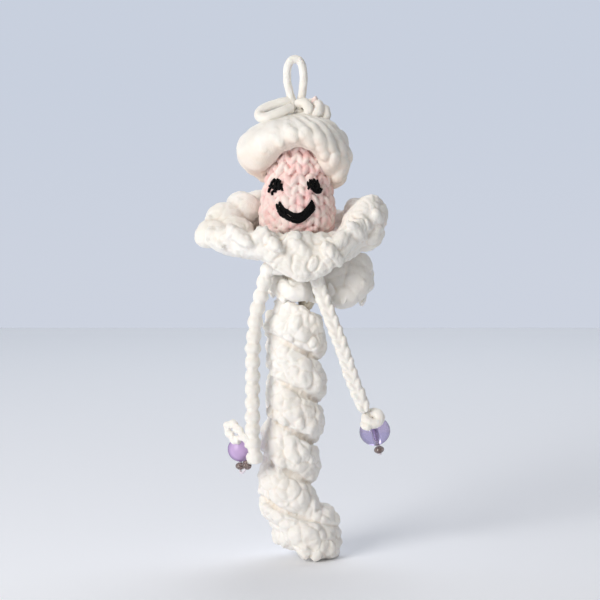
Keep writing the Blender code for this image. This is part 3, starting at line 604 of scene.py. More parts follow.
mouthCorners = (
    ((-6.3, 1, -25.5, 0.75), (-5.9, 1, -26.8, 0.85), (-5.2, 1, -28.2, 0.8)),
    ((3.9, -0.8, -25.0, 0.95), (4.7, -0.8, -25.7, 1), (5.5, -0.85, -26.9, 0.95)),
)
for n in range(6):
    slide = n * 0.5
    for corner in mouthCorners:
        mouthStrands.append([(x + slide * across, z - slide * fall) for x, across, z, fall in corner])
sewn("leftEyeStitches", leftEyeStrands, 0.00078, "left_eye")
sewn("rightEyeStitches", rightEyeStrands, 0.0007, "right_eye")
sewn("mouthStitches", mouthStrands, 0.00068, "mouth")
print("face made")

# hanging loop: two legs of smooth round cord, apart at the foot, and the knot that holds them
loopSettings = {
    "left": (
        (-0.4, -1.0, -13.5), (-0.9, -1.1, -11.4), (-1.7, -0.8, -8.8), (-2.45, 0, -5.0), (-2.35, 0, -1.2),
        (-1.5, 0, 0.9), (0.0, 0, 1.65),
    ),
    "right": (
        (0.0, 0, 1.65), (1.4, 0, 1.2), (2.3, 0, -0.6), (2.75, 0.1, -4.2), (2.4, 0.4, -8.4),
        (1.9, 0.5, -11.4), (2.1, 0.7, -13.5),
    ),
    "thick": 0.0026,
}
bm = bmesh.new()
loopRoute = smoothRoute(millimetres(loopSettings["left"] + loopSettings["right"][1:]), evenStep)
tube(bm, loopRoute, loopSettings["thick"] / 2)
for k, point in enumerate(loopRoute[::3]):
    along = aheadAt(loopRoute, 3 * k)
    for strand in range(3):
        turn = 2 * pi * strand / 3 + k * 0.62
        side = along.cross(Vector((0, 1, 0))).normalized()
        out = side * cos(turn) + along.normalized().cross(side) * sin(turn)
        lean = along.normalized() + 0.55 * along.normalized().cross(out)
        grain(bm, point + out * loopSettings["thick"] * 0.33, lean, out, (0.0023, 0.0013, 0.0011))
loopPiece = felted("hangingLoop", bm, creamYarn, rounds=5)
declare(loopPiece, "hanger", "cream_yarn", "hanging_loop")
bm = bmesh.new()
stopperShape = [(0, -0.0132), (0.0018, -0.0139), (0.0025, -0.015), (0.0018, -0.0166), (0, -0.0174)]
spun(bm, stopperShape, (head["axis"], 0, 0))
stopperPiece = felted("loopStopper", bm, creamYarn, rounds=2)
declare(stopperPiece, "hanger", "cream_yarn", "loop_stopper")

# hat: a fat rolled dome whose ribs swirl from the crown to the brim
hat = {
    "axis": 0.0008,
    "radius": 0.0197,
    "height": 0.0235,
    "top": -0.0157,
    "outline": (
        (0.0, 0.0, 0.0), (0.11, 0.2, 0.008), (0.21, 0.38, 0.045), (0.31, 0.56, 0.11), (0.42, 0.75, 0.2),
        (0.53, 0.92, 0.375), (0.63, 1.0, 0.58), (0.72, 0.98, 0.74), (0.81, 0.9, 0.89), (0.9, 0.77, 0.985),
        (1.0, 0.6, 0.99),
    ),
    "brim": (
        (0, 0.83, 0.95), (45, 0.84, 0.98), (90, 0.84, 1.0), (135, 0.9, 0.95), (180, 1.0, 0.82),
        (212, 0.93, 0.76), (240, 0.81, 0.56), (268, 0.76, 0.44), (296, 0.79, 0.54), (325, 0.81, 0.78),
    ),
    "middle": (0.0008, 0, -0.027),
    "ribs": 20,
    "stitch": (0.0068, 0.0024, 0.0034),
    "sunk": 0.0017,
    "raised": 0.0017,
}


def hatPlace(angle, share):
    radius, height = rowsAt(hat["outline"], share)
    reach, fall = rowsAt(hat["brim"], angle * 180 / pi, cyclic=True)
    radius *= reach * hat["radius"]
    return Vector((hat["axis"], 0, hat["top"] - height * fall * hat["height"])) + radius * around(angle)


def hatFrame(angle, share):
    # place, direction down the rib, outward direction and direction across
    at = hatPlace(angle, share)
    down = hatPlace(angle, min(share + 0.02, 1)) - hatPlace(angle, max(share - 0.02, 0))
    across = hatPlace(angle + 0.05, share) - hatPlace(angle - 0.05, share)
    if across.length < tiny:
        across = Vector((-sin(angle), cos(angle), 0))
    out = across.cross(down).normalized()
    if out.dot(at - Vector(hat["middle"])) < 0:
        out = -out
    return at, down.normalized(), out, across.normalized()


chance = random.Random(11)
bm = bmesh.new()
rings = []
for n in range(1, 37):
    made = circle(bm, 48)
    for v in made:
        at, down, out, across = hatFrame(atan2(v.co.y, v.co.x), n / 36)
        v.co = at - out * 0.0003
    rings.append(made)
for shrink, raised in ((0.8, 0.0022), (0.45, 0.005), (0.2, 0.008)):
    made = circle(bm, 48)
    for v in made:
        at = hatPlace(atan2(v.co.y, v.co.x), 1.0)
        v.co = Vector((hat["axis"] + (at.x - hat["axis"]) * shrink, at.y * shrink, at.z + raised))
    rings.append(made)
joinRings(bm, rings)
length, narrow, thick = hat["stitch"]
for rib in range(hat["ribs"]):
    share = 0.16
    last = 0.97 - 0.16 * max(0, cos(2 * pi * rib / hat["ribs"] + 0.6 - radians(268)))
    while share < last:
        angle = 2 * pi * rib / hat["ribs"] + 0.75 * share + 0.04 * chance.uniform(-1, 1)
        at, down, out, across = hatFrame(angle, share)
        reach = rowsAt(hat["brim"], angle * 180 / pi, cyclic=True)[0]
        radius = rowsAt(hat["outline"], share)[0] * reach * hat["radius"]
        width = 2 * pi * radius / hat["ribs"]
        plain = 0.5 + 0.5 * cos(angle - radians(200))
        relief = hat["raised"] * (1 - 0.9 * plain**0.6) - 0.0003
        along = down + across * (0.6 + 0.2 * chance.uniform(-1, 1))
        size = (length + 0.0008 * chance.uniform(-1, 1), max(narrow, width * 0.92), thick)
        grain(bm, at - out * (hat["sunk"] - relief), along, out, size)
        share += 0.115 + 0.02 * chance.uniform(-1, 1)
hatPiece = felted("rolledHat", bm, hatYarn, size=0.0003, rounds=4, lumps=0.0006, lumpSize=0.005)
declare(hatPiece, "head", "cream_yarn", "hat")


# tie cord: a flat bow to the left of the loop, a wound knot to its right
def hatTop(x, y):
    # height of the hat's top under a place
    angle = atan2(y, x - hat["axis"])
    reach = sqrt((x - hat["axis"]) ** 2 + y**2)

    def miss(share):
        return abs((hatPlace(angle, share) - Vector((hat["axis"], 0, 0))).to_2d().length - reach)

    return hatPlace(angle, min([k / 60 for k in range(38)], key=miss)).z


bowRoute = (
    (-0.8, -3.0, -13.7), (-3.6, -4.2, -14.9), (-6.4, -4.8, -16.0), (-9.0, -4.9, -16.9),
    (-10.8, -4.3, -16.9), (-11.4, -3.3, -15.7), (-9.8, -2.5, -14.1), (-6.8, -1.9, -12.9),
    (-3.6, -1.4, -12.0), (-1.4, -0.8, -11.6),
)
tieRadius = 0.0016
bm = bmesh.new()
tube(bm, smoothRoute(millimetres(bowRoute), evenStep), tieRadius)
bowPiece = felted("tieBow", bm, creamYarn, rounds=3, lumps=0.0001, lumpSize=0.0015)
declare(bowPiece, "head", "cream_yarn", "tie_bow")

chance = random.Random(5)
bm = bmesh.new()
knotCentre = Vector((5.4 * mm, -0.8 * mm, hatTop(5.6 * mm, 0) + 1.9 * mm))
knotRoute = (
    (-4.6, -0.5, 1.8), (-2.6, -2.0, 2.2), (-1.0, -2.8, 0.2), (-1.8, -1.6, -2.0), (-3.4, 1.0, -1.6),
    (-2.2, 2.0, 1.0), (0.4, 0.6, 2.3), (2.2, -1.6, 1.2), (2.0, -2.8, -0.8), (0.6, -1.6, -2.4),
    (0.8, 1.4, -2.6), (2.6, 1.6, -0.4), (3.9, -0.4, 0.2), (4.5, -1.6, -1.6), (3.8, -0.6, -3.2),
)
tube(bm, smoothRoute([knotCentre + Vector(p) * mm for p in knotRoute], evenStep), tieRadius)
grain(bm, knotCentre, Vector((1, 0, -0.34)), upward, (0.0062, 0.0034, 0.0034))
knotPiece = felted("tieKnot", bm, creamYarn, rounds=2, lumps=0.00016, lumpSize=0.0016)
declare(knotPiece, "head", "cream_yarn", "tie_knot")
bm = bmesh.new()
tipPoints = [knotCentre + Vector(p) * mm for p in ((0.4, -0.6, 1.6), (0.7, -1.1, 3.2), (1.5, -1.6, 3.7))]
tube(bm, smoothRoute(tipPoints, fineStep), 0.00075, sides=10)
tipPiece = felted("tieTip", bm, pinkYarn, size=0.00018, rounds=1)
declare(tipPiece, "head", "pink_yarn", "tie_tip")
print("hat made")

# collar: frilled crochet bands round the neck, each with a lumpy rim
upper = {
    "reach": 0.032,
    "rise": 0.016,
    "thick": 0.005,
    "root": -0.0582,
    "rows": (
        (0, 0.85, 0.72, -0.06, 0.05, -0.42), (20, 0.82, 0.9, -0.06, 0.06, -0.5),
        (45, 0.67, 0.56, 0.0, 0.03, -0.32), (75, 0.58, 0.4, 0.0, 0.03, -0.25),
        (105, 0.61, 0.74, 0.0, 0.03, -0.38), (130, 0.71, 1.0, -0.06, 0.06, -0.5),
        (150, 0.83, 0.88, -0.06, 0.06, -0.5), (170, 0.94, 0.56, -0.06, 0.05, -0.38),
        (188, 0.97, 0.32, -0.12, 0.03, -0.32), (205, 0.91, 0.34, -0.12, 0.03, -0.44),
        (225, 0.75, 0.34, -0.14, 0.03, -0.52), (250, 0.59, 0.28, 0.16, 0.06, -1.2),
        (270, 0.54, 0.25, 0.3, 0.12, -1.62), (290, 0.56, 0.25, 0.3, 0.12, -1.6),
        (310, 0.64, 0.28, 0.14, 0.07, -1.14), (330, 0.74, 0.47, -0.14, 0.05, -0.5),
        (345, 0.81, 0.6, -0.12, 0.05, -0.44),
    ),
    "pitch": 0.0046,
    "plump": 0.5,
    "seed": 21,
    "coarse": (0.0068, 0.00062),
    "fine": (0.0024, 0.00032),
    "calm": 150,
    "armWay": None,
    "lobes": (
        (128, 0.92, 0.5, (15, 9, 7.5)), (146, 0.95, 0.5, (13, 9, 7.5)), (163, 0.94, 0.5, (12, 8, 7)),
        (112, 0.85, 0.3, (12, 9, 7)), (12, 0.92, 0.2, (12, 7, 7)), (28, 0.94, 0.2, (12, 8, 7.5)),
        (2, 0.8, -0.2, (10, 9, 7)), (166, 0.68, 1.3, (14, 11, 9)), (184, 0.72, 1.1, (13, 10, 8)),
        (148, 0.68, 1.3, (14, 11, 9)), (200, 0.78, 0.7, (12, 9, 7)), (5, 0.74, 1.0, (12, 11, 8)),
        (352, 0.8, 0.8, (12, 10, 8)), (20, 0.78, 1.0, (12, 10, 8)), (340, 0.86, 0.6, (11, 9, 7)),
    ),
    "neckRing": (0.0142, -0.0553, 190, 350),
    "wings": (
        ((19.6, -5.0, -52.0), (0.5, 0, 0.86), (24, 11, 9)),
        ((24.6, -2.5, -48.5), (0.2, 0, 1), (13, 10, 9)), ((23.5, -4.0, -54.0), (0.6, 0, 0.8), (12, 9, 8)),
        ((-16.8, 5.5, -46.0), (1, 0, 0.15), (12, 11, 10)),
        ((-22.5, 2.5, -49.5), (1, 0, 0.3), (13, 12, 10)),
        ((-27.0, -0.5, -53.5), (0.8, 0, 0.5), (11, 9, 9)),
        ((-19.8, -2.0, -52.8), (1, 0, 0.1), (14, 9, 8)),
    ),
}
lower = {
    "reach": 0.023,
    "rise": 0.0075,
    "thick": 0.0036,
    "root": -0.0685,
    "rows": (
        (0, 0.93, -0.9, 0.9, 0.24, 2.2), (15, 1.0, -1.0, 1.0, 0.26, 2.45),
        (32, 0.95, -0.98, 0.92, 0.26, 2.3), (60, 0.78, -0.5, 0.5, 0.13, 1.0),
        (90, 0.64, -0.2, 0.4, 0.09, 0.66), (130, 0.54, -0.14, 0.26, 0.07, 0.5),
        (180, 0.43, -0.4, 0.1, 0.05, 0.4), (220, 0.36, -0.6, 0.06, 0.05, 0.4),
        (250, 0.36, -0.7, 0.0, 0.05, 0.4), (272, 0.38, -0.74, 0.0, 0.05, 0.4),
        (292, 0.37, -0.66, 0.0, 0.05, 0.4), (310, 0.32, -0.5, 0.0, 0.04, 0.34),
        (326, 0.36, -0.46, 0.06, 0.04, 0.4), (340, 0.48, -0.6, 0.3, 0.06, 0.8),
        (350, 0.72, -0.8, 0.55, 0.14, 1.3),
    ),
    "pitch": 0.0052,
    "plump": 0.62,
    "seed": 33,
    "coarse": (0.0105, 0.0015),
    "fine": (0.0036, 0.0003),
    "calm": 318,
    "armWay": (0.003, 0.0175, -0.0048),
    "lobes": (
        (20, 0.8, 0.0, (9, 8, 8)), (6, 0.86, -0.2, (8, 8, 7)), (356, 0.9, -0.2, (7, 7, 6)),
        (12, 0.45, 0.3, (9, 8, 7)), (268, 0.72, 0.0, (8, 6, 5.5)), (283, 0.78, 0.0, (7, 5.5, 5.5)),
        (30, 0.7, 0.4, (8, 7, 7)),
    ),
    "neckRing": None,
    "wings": (
        ((19.5, -0.4, -69.0), (0.3, 0, 1), (13, 10, 8.5)), ((15.5, -1.4, -73.5), (1, 0, 0.3), (11, 8, 8)),
        ((21.0, 0.8, -64.5), (0, 0, 1), (10, 8, 7)),
    ),
}


def frillPlace(frill, angle, share, side=0.0):
    # place on a frill: share 0 at the neck, 1 at the rim; side -1 to 1 through its thickness
    rim, lift, start, bulge, turn = rowsAt(frill["rows"], angle, cyclic=True)
    # the frill's foot lies this far from the doll's axis
    root = 0.0042
    far = rim * frill["reach"] - frill["thick"] / 2
    corners = [
        Vector((root, frill["root"])),
        Vector((root + (far - root) / 3, frill["root"] + start * frill["rise"])),
        Vector((far + bulge * frill["reach"], frill["root"] + (lift + turn) * frill["rise"])),
        Vector((far, frill["root"] + lift * frill["rise"])),
    ]
    t = min(share, 1)
    s = 1 - t
    weights = (s**3, 3 * t * s**2, 3 * t * t * s, t**3)
    slopes = (-3 * s**2, 3 * s * (1 - 3 * t), 3 * t * (2 - 3 * t), 3 * t * t)
    spot = sum((w * c for w, c in zip(weights, corners)), Vector((0, 0)))
    run = sum((w * c for w, c in zip(slopes, corners)), Vector((0, 0))).normalized()
    spot += run * max(0, share - 1) * frill["thick"]
    up = Vector((-run.y, run.x))
    spot += up * side * frill["thick"] / 2
    a = radians(angle)
    radial, tangent = around(a), Vector((-sin(a), cos(a), 0))
    at = Vector((head["axis"], 0, 0)) + radial * spot.x + Vector((0, 0, spot.y))
    return at, radial * run.x + Vector((0, 0, run.y)), radial * up.x + Vector((0, 0, up.y)), tangent


def evenAngles(frill):
    # angles spaced evenly along the rim, and the rim's length
    lengths = runLengths([frillPlace(frill, a, 1.0)[0] for a in range(361)])
    count = round(lengths[-1] / frill["pitch"])
    found = []
    for k in range(count):
        wanted = lengths[-1] * k / count
        i = max(n for n in range(360) if lengths[n] <= wanted)
        found.append(i + (wanted - lengths[i]) / (lengths[i + 1] - lengths[i]))
    return found, lengths[-1]


def frillRelief(frill, place):
    # puffs of crochet, calmer on the side where the yarn is pulled smooth
    angle = atan2(place.y, place.x - head["axis"])
    big, bigDepth = frill["coarse"]
    small, smallDepth = frill["fine"]
    calm = 1 - 0.72 * max(0, cos(angle - radians(frill["calm"]))) ** 1.5
    wander = noise.noise(place / big + Vector((5, 2, 8)))
    push = bigDepth * calm * (0.7 * pillows(place, big * 0.85) - 0.4 + 0.8 * wander)
    push += smallDepth * (0.4 + 0.6 * calm) * (puffs(place, small) - 0.5)
    return push - 0.0006 * calm * folds(place, 0.0055, 0.1)


def frillPiece(name, node, frill, finish, rounds):
    chance = random.Random(frill["seed"])
    bm = bmesh.new()
    loops = []
    thick = frill["thick"]
    for n in range(180):
        made = circle(bm, 32)
        for v in made:
            share = 0.5 + 0.5 * v.co.x
            at, run, up, tangent = frillPlace(frill, 2 * n, share)
            v.co = at + up * v.co.y * thick * (frill["plump"] if share > 0.12 else 0.32)
        loops.append(made)
    joinRings(bm, loops, closed=True)
    angles, rimLength = evenAngles(frill)
    for n, angle in enumerate(angles):
        flip = (-1) ** n
        share = 0.93 + 0.05 * chance.uniform(-1, 1)
        at, run, up, tangent = frillPlace(frill, angle, share, 0.25 * flip)
        lean = tangent + run * (0.8 * flip + 0.3 * chance.uniform(-1, 1))
        lean += up * 0.25 * chance.uniform(-1, 1)
        calm = max(0, cos(radians(angle - frill["calm"])))
        plump = 1 + 0.1 * chance.uniform(-1, 1) - 0.25 * calm
        grain(bm, at, lean, up, (frill["pitch"] * 2.6, thick * 0.94 * plump, thick * 1.02 * plump))
    for angle, share, side, size in frill["lobes"]:
        at, run, up, tangent = frillPlace(frill, angle, share, side)
        grain(bm, at, tangent, up, [d * mm for d in size], rounds=3)
    for place, lean, size in frill["wings"]:
        grain(bm, Vector(place) * mm, Vector(lean), frontward, [d * mm for d in size], rounds=4)
    if frill["neckRing"]:
        radius, level, first, last = frill["neckRing"]
        for n in range(16):
            a = radians(first + (last - first) * n / 15)
            height = level + 0.0004 * chance.uniform(-1, 1)
            at = Vector((head["axis"] + radius * cos(a), radius * sin(a), height))
            lean = Vector((-sin(a), cos(a), 0.3 * (-1) ** n))
            grain(bm, at, lean, upward, (0.008, 0.0042, 0.005))
    relief = partial(frillRelief, frill)
    item = felted(name, bm, finish, size=0.00033, rounds=rounds, relief=relief, after=3)
    if frill["armWay"]:
        # pressed back where the right arm passes in front
        first, last, front = frill["armWay"]
        fade = 0.002
        for v in item.data.vertices:
            inside = min(1, max(0, (v.co.x - first) / fade))
            inside *= min(1, max(0, (last - v.co.x) / fade))
            if v.co.y < front:
                v.co.y += (front - v.co.y) * 0.72 * inside
        item.data.shade_smooth()
    declare(item, "torso", "cream_yarn", node)


frillPiece("upperRuffle", "upper_ruffle", upper, creamYarn, rounds=5)
frillPiece("lowerRuffle", "lower_ruffle", lower, bodyYarn, rounds=4)
print("collar made")

# twisted cord of the neck and waist
core = {
    "route": (
        (0.8, 0, -50.2), (0.8, 0, -58.2), (0.8, -0.6, -65.1), (1.0, -1.4, -70.3), (3.6, -2.0, -74.0),
        (3.2, -1.4, -77.0),
    ),
    "thick": 0.0078,
    "strands": 7,
    "pitch": 0.015,
}
bm = bmesh.new()
coreLine = smoothRoute(millimetres(core["route"]), evenStep)
for strand in range(core["strands"]):
    wound = []
    for k, point in enumerate(coreLine):
        ahead = aheadAt(coreLine, k).normalized()
        side = ahead.cross(Vector((0, 1, 0))).normalized()
        turn = 2 * pi * (strand / core["strands"] + k * evenStep / core["pitch"])
        thin = 1 - 0.5 * max(0, k / len(coreLine) - 0.72) / 0.28
        out = side * cos(turn) + ahead.cross(side) * sin(turn)
        wound.append(point + out * core["thick"] * 0.35 * thin)
    tube(bm, wound, lambda share: core["thick"] * (0.155 - 0.05 * max(0, share - 0.72) / 0.28))
tube(bm, coreLine, core["thick"] * 0.24)
corePiece = addPiece("coreCord", bm, coreYarn)
declare(corePiece, "torso", "core_yarn", "core_cord")


def knotPiece(name, node, body, plump):
    # a few turns of yarn pulled tight, inside the box of the hidden knot
    low, high = (Vector(p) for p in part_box(node))
    centre, span = (low + high) / 2, high - low
    bm = bmesh.new()
    for k in range(6):
        turn = pi * k / 6
        out = around(turn)
        lean = Vector((-sin(turn), cos(turn), 0.5))
        grain(bm, centre, lean, out, (span.x * 0.92, span.x * plump, span.z * 0.8))
    item = felted(name, bm, coreYarn, rounds=1)
    declare(item, body, "core_yarn", node)


knotPiece("neckKnot", "neck_knot", "torso", 0.36)
knotPiece("waistKnot", "waist_knot", "waist", 0.4)

# shoulder cord under the collar
bm = bmesh.new()
shoulderRoute = (
    (-9.6, -7.6, -65.1), (-4.4, -7.2, -65.1), (0.8, -5.4, -65.1), (3.8, -7.3, -65.1), (6.8, -8.4, -65.1),
)
tube(bm, smoothRoute(millimetres(shoulderRoute), evenStep), 0.00145)
shoulderPiece = felted("shoulderCord", bm, bodyYarn, size=0.00025, rounds=2, lumps=0.00012, lumpSize=0.0016)
declare(shoulderPiece, "torso", "cream_yarn", "shoulder_cord")

# tail: one band of ribbed crochet wound round its core, each turn puffed over the next
tail = {
    "axis": 0.0026,
    "top": -0.0779,
    "radius": 0.0099,
    "footRadius": 0.0114,
    "pitch": 0.0133,
    "band": 0.0125,
    "drape": 0.0156,
    "seat": 0.003,
    "tilt": 0.0018,
    "taper": 0.15,
    "core": 0.0042,
    "coreRadius": 0.007,
    "tuck": 0.003,
    "turns": 5.76,
    "start": 128,
    "rise": 0.0002,
    "sway": 0.0035,
    "swayRows": (
        (0.0, 0.0), (0.07, -0.72), (0.19, -0.62), (0.35, -0.66), (0.53, -1.08), (0.66, -1.3),
        (0.75, -1.18), (0.85, 0.25), (0.92, 0.5), (1.0, 0.75),
    ),
    "footRows": ((0.0, 0.0), (0.83, 0.0), (0.92, 1.0), (1.0, 0.7)),
    "posts": 11,
}
tailLength = tail["pitch"] * tail["turns"] + tail["band"] / 2


def eased(rows, place):
    for (p0, v0), (p1, v1) in zip(rows, rows[1:]):
        if place <= p1:
            t = (place - p0) / (p1 - p0)
            return v0 + (v1 - v0) * t * t * (3 - 2 * t)
    return rows[-1][1]


def tailAxis(height):
    share = min(1, max(0, (tail["top"] - height) / tailLength))
    return Vector((tail["axis"] + tail["sway"] * eased(tail["swayRows"], share), 0, height))


def tailTurn(share, endSize):
    # angle, height, size and outer radius of the winding at a share of its length
    turn = radians(tail["start"]) + 2 * pi * tail["turns"] * share
    height = tail["top"] + tail["rise"] - tail["pitch"] * tail["turns"] * share
    size = eased(((0.0, 0.2), (0.035, 1.0), (0.95, 1.0), (1.0, endSize)), share)
    foot = eased(tail["footRows"], share)
    return turn, height, size, tail["radius"] + (tail["footRadius"] - tail["radius"]) * foot


def tailPlace(share, level):
    # place on the winding: share of its length, level -1 to 1 down the band
    turn, height, size, outer = tailTurn(share, 0.55)
    thick = (outer - tail["core"]) / 2 * (0.55 + 0.45 * size)
    middle = tail["core"] + thick
    out = around(turn)
    tip = -level * pi / 2
    z = height + tail["band"] / 2 * size * sin(tip)
    at = tailAxis(z) + out * (middle + thick * max(0, cos(tip)) ** 0.7)
    outward = (out * cos(tip) + Vector((0, 0, sin(tip)))).normalized()
    return at, outward, Vector((-sin(turn), cos(turn), 0)), size


def tailRelief(place):
    # creases run down each turn, softly and unevenly
    axis = tailAxis(place.z)
    angle = atan2(place.y - axis.y, place.x - axis.x)
    fallen = tail["top"] + tail["rise"] - place.z - tail["tilt"] * cos(angle)
    behind = fallen / tail["pitch"] - (angle - radians(tail["start"])) / (2 * pi)
    turn = round(behind)
    level = (behind - turn) * tail["pitch"]
    band = Vector((tail["radius"] * (angle + 2 * pi * turn), level * 0.55, 0.01 * turn))
    face = max(0, 1 - abs(level) / (tail["pitch"] * 0.62))
    seamWidth = 0.0008
    seam = (abs(level) - tail["pitch"] / 2) / seamWidth
    push = 0.001 * (pillows(place, 0.0048) - 0.6) * (0.7 + 0.3 * face)
    if 0 < behind < tail["turns"] + 0.4:
        push -= 0.00075 * bell(seam)
    push += 0.0003 * noise.noise(place / 0.0016)
    push += 0.0007 * noise.noise(place / 0.005 + Vector((3, 1, 9)))
    return push - 0.00026 * folds(band, 0.0056, 0.12)


chance = random.Random(3)
bm = bmesh.new()
coreSpan = tail["pitch"] * tail["turns"] + tail["band"] / 2 - tail["band"]
levels = [tail["top"] - 0.0003 - coreSpan * k / 40 for k in range(41)]
tube(bm, [tailAxis(z) for z in levels], tail["coreRadius"], sides=24)
steps = round(60 * tail["turns"])
rings = []
for n in range(steps + 1):
    made = circle(bm, 28)
    share = n / steps
    turn, height, size, outer = tailTurn(share, 0.75)
    out = around(turn)
    level = tail["tilt"] * cos(turn) * min(1, 6 * share, 6 * (1 - share))
    narrow = 1 - tail["taper"] * (0.5 + 0.5 * cos(turn + radians(15))) ** 1.5
    thick = (outer - tail["seat"]) / 2
    outer -= (1 - size) * tail["tuck"]
    for v in made:
        across = 0.99 * v.co.x - 0.05 * v.co.y * max(0, v.co.x)
        z = height + v.co.y * tail["drape"] / 2 * size * narrow - level
        v.co = tailAxis(z) + out * (outer - thick + across * thick)
    rings.append(made)
joinRings(bm, rings)
count = round(tail["posts"] * tail["turns"])
for n in range(count):
    share = (n + 0.5) / count
    share += chance.uniform(-0.3, 0.3) / count
    at, out, along, size = tailPlace(share, 0.42 + 0.3 * chance.uniform(-1, 1))
    if size > 0.6:
        lean = Vector((0, 0, -1)) + along * 0.7 * chance.uniform(-1, 1)
        sunk = 0.0019 + 0.0004 * chance.uniform(-1, 1)
        grain(bm, at - out * sunk, lean, out, (0.0075, 0.0058, 0.0046))
tailEnd = tailAxis(tail["top"] - coreSpan)
tailEndShape = [(0, 0.0015), (0.0046, 0.0008), (0.0054, -0.0012), (0.0044, -0.0034), (0, -0.0046)]
spun(bm, tailEndShape, tailEnd - Vector((0, 0, 0.0008)))
lastTurn = (0.0216, 0.0184, 0.0176)
grain(bm, Vector((0.0044, 0, -0.148)), Vector((1, 0, -0.2)), upward, lastTurn, rounds=4)
for k in range(5):
    a = 2 * pi * k / 5 + 0.4
    at = tailEnd + Vector((0.0036 * cos(a), 0.0036 * sin(a), -0.003))
    grain(bm, at, around(a, -0.6), Vector((0, 0, -1)), (0.0052, 0.0042, 0.0036))
tailPiece = felted("tailSpiral", bm, bodyYarn, size=0.0003, rounds=4, relief=tailRelief, after=2)
declare(tailPiece, "tail", "cream_yarn", "tail_spiral", "tail_core", "tail_end_knot")
print("tail made")

# arms: chains of stitches along given routes
arms = {
    "left": (
        (-7.6, -6.6, -63.0), (-9.2, -7.6, -66.4), (-10.4, -8.0, -71.8), (-12.2, -8.4, -78.8),
        (-13.2, -8.6, -88.8), (-13.4, -9.0, -99.8), (-13.4, -9.8, -110.8), (-13.2, -11.0, -118.8),
        (-12.2, -11.8, -125.8),
    ),
    "right": (
        (5.6, -8.0, -63.6), (6.6, -8.4, -66.8), (8.1, -8.7, -71.8), (10.8, -9.0, -78.8),
        (14.6, -9.4, -88.8), (18.0, -10.0, -98.8), (22.2, -10.8, -109.5),
    ),
    "thick": 0.0049,
}


def chainArm(name, route, pitch, slanted, body, node):
    chance = random.Random(len(name) * 3)
    bm = bmesh.new()
    line = smoothRoute(millimetres(route), evenStep)
    thick = arms["thick"]
    inner = 0.45 if slanted else 0.37
    tube(bm, line, lambda share: thick * (inner if share < 0.965 else 0.32), sides=14)
    length = evenStep * (len(line) - 1)
    links = round(length / pitch)
    for k in range(links):
        middle = (k + 0.5) * length / links
        i = min(len(line) - 2, round(middle / evenStep))
        ahead = (line[i + 1] - line[i - 1]).normalized()
        front = (frontward - ahead * ahead.dot(frontward)).normalized()
        side = ahead.cross(front)
        small = 0.82 if k == links - 1 else 1.0
        if slanted:
            for face in (1, -1):
                for leg in (-1, 1):
                    at = line[i] + (side * leg * 0.2 + front * face * 0.24) * thick
                    lean = ahead - leg * side * 0.42 + side * 0.1 * chance.uniform(-1, 1)
                    plump = (pitch * 1.5 * small, thick * 0.48 * small, thick * 0.5)
                    grain(bm, at, lean, front * face, plump)
        else:
            size = 1 + 0.06 * chance.uniform(-1, 1)
            plump = (thick * 1.03 * size * small, pitch, thick * 0.98 * size * small)
            grain(bm, line[i], side, front, plump, rounds=3)
            for leg in (-1, 1):
                at = line[i] + side * leg * thick * 0.26
                lean = ahead + front * 0.15 * chance.uniform(-1, 1)
                grain(bm, at, lean, side * leg, (pitch * 1.02, thick * 0.64 * small, thick * 0.5))
    item = felted(name, bm, creamYarn, size=0.00024, rounds=3, lumps=0.00018, lumpSize=0.0016)
    declare(item, body, "cream_yarn", node)
    return item, [list(p) for p in line[::6]] + [list(line[-1])], length


leftArm, leftPath, leftLength = chainArm("leftArm", arms["left"], 0.0043, False, "left_arm", "left_arm")
rightArm, rightPath, rightLength = chainArm("rightArm", arms["right"], 0.0034, True, "right_arm", "right_arm")
print("arms", round(leftLength, 4), round(rightLength, 4))


def handPiece(name, bm, finish, body, slot, node, melted=False):
    if melted:
        item = felted(name, bm, finish, size=0.0002, rounds=3, lumps=0.00014, lumpSize=0.0014)
    else:
        item = addPiece(name, bm, finish)
    declare(item, body, slot, node)


# left hand: a strand hooked over a frosted bead, two seed beads on its thread
leftHand = {
    "bead": Vector((-17.4, -5.4, -122.2)) * mm,
    "hook": (
        (-13.2, -10.8, -120.6), (-15.0, -11.0, -119.0), (-16.9, -9.6, -116.6), (-18.6, -8.2, -114.6),
        (-20.4, -6.8, -113.8), (-21.6, -6.0, -115.2), (-20.9, -6.4, -117.2), (-19.4, -7.6, -118.6),
        (-17.6, -9.2, -119.3),
    ),
    "thick": 0.0022,
    "seeds": (((-17.4, -5.4, -127.6), (0, 0, 1)), ((-15.2, -9.4, -126.6), (0.62, -0.55, 0.56))),
}
bm = bmesh.new()
hookLine = smoothRoute(millimetres(leftHand["hook"]), evenStep)
tube(bm, hookLine, leftHand["thick"] * 0.5)
for place, along, size in (
    ((-13.3, -10.9, -121.4), (0.2, 0, -1), (0.0056, 0.0034, 0.003)),
    ((-14.6, -11.0, -118.6), (-0.8, 0, 0.5), (0.0042, 0.0024, 0.0026)),
    ((-12.4, -11.6, -123.4), (0.1, 0, -1), (0.0048, 0.003, 0.003)),
    ((-14.0, -10.3, -124.4), (0.3, 0, -1), (0.0042, 0.0028, 0.0028)),
):
    grain(bm, Vector(place) * mm, Vector(along), frontward, size)
for k, point in enumerate(hookLine[::4]):
    flip = (-1) ** k
    lean = aheadAt(hookLine, 4 * k) + Vector((0, -0.0002, 0.0006 * flip))
    grain(bm, point + Vector((0, 0, 0.0005 * flip)), lean, frontward, (0.0034, 0.0023, 0.0024))
handPiece("leftHandKnot", bm, creamYarn, "left_hand", "cream_yarn", "left_hand_knot", melted=True)


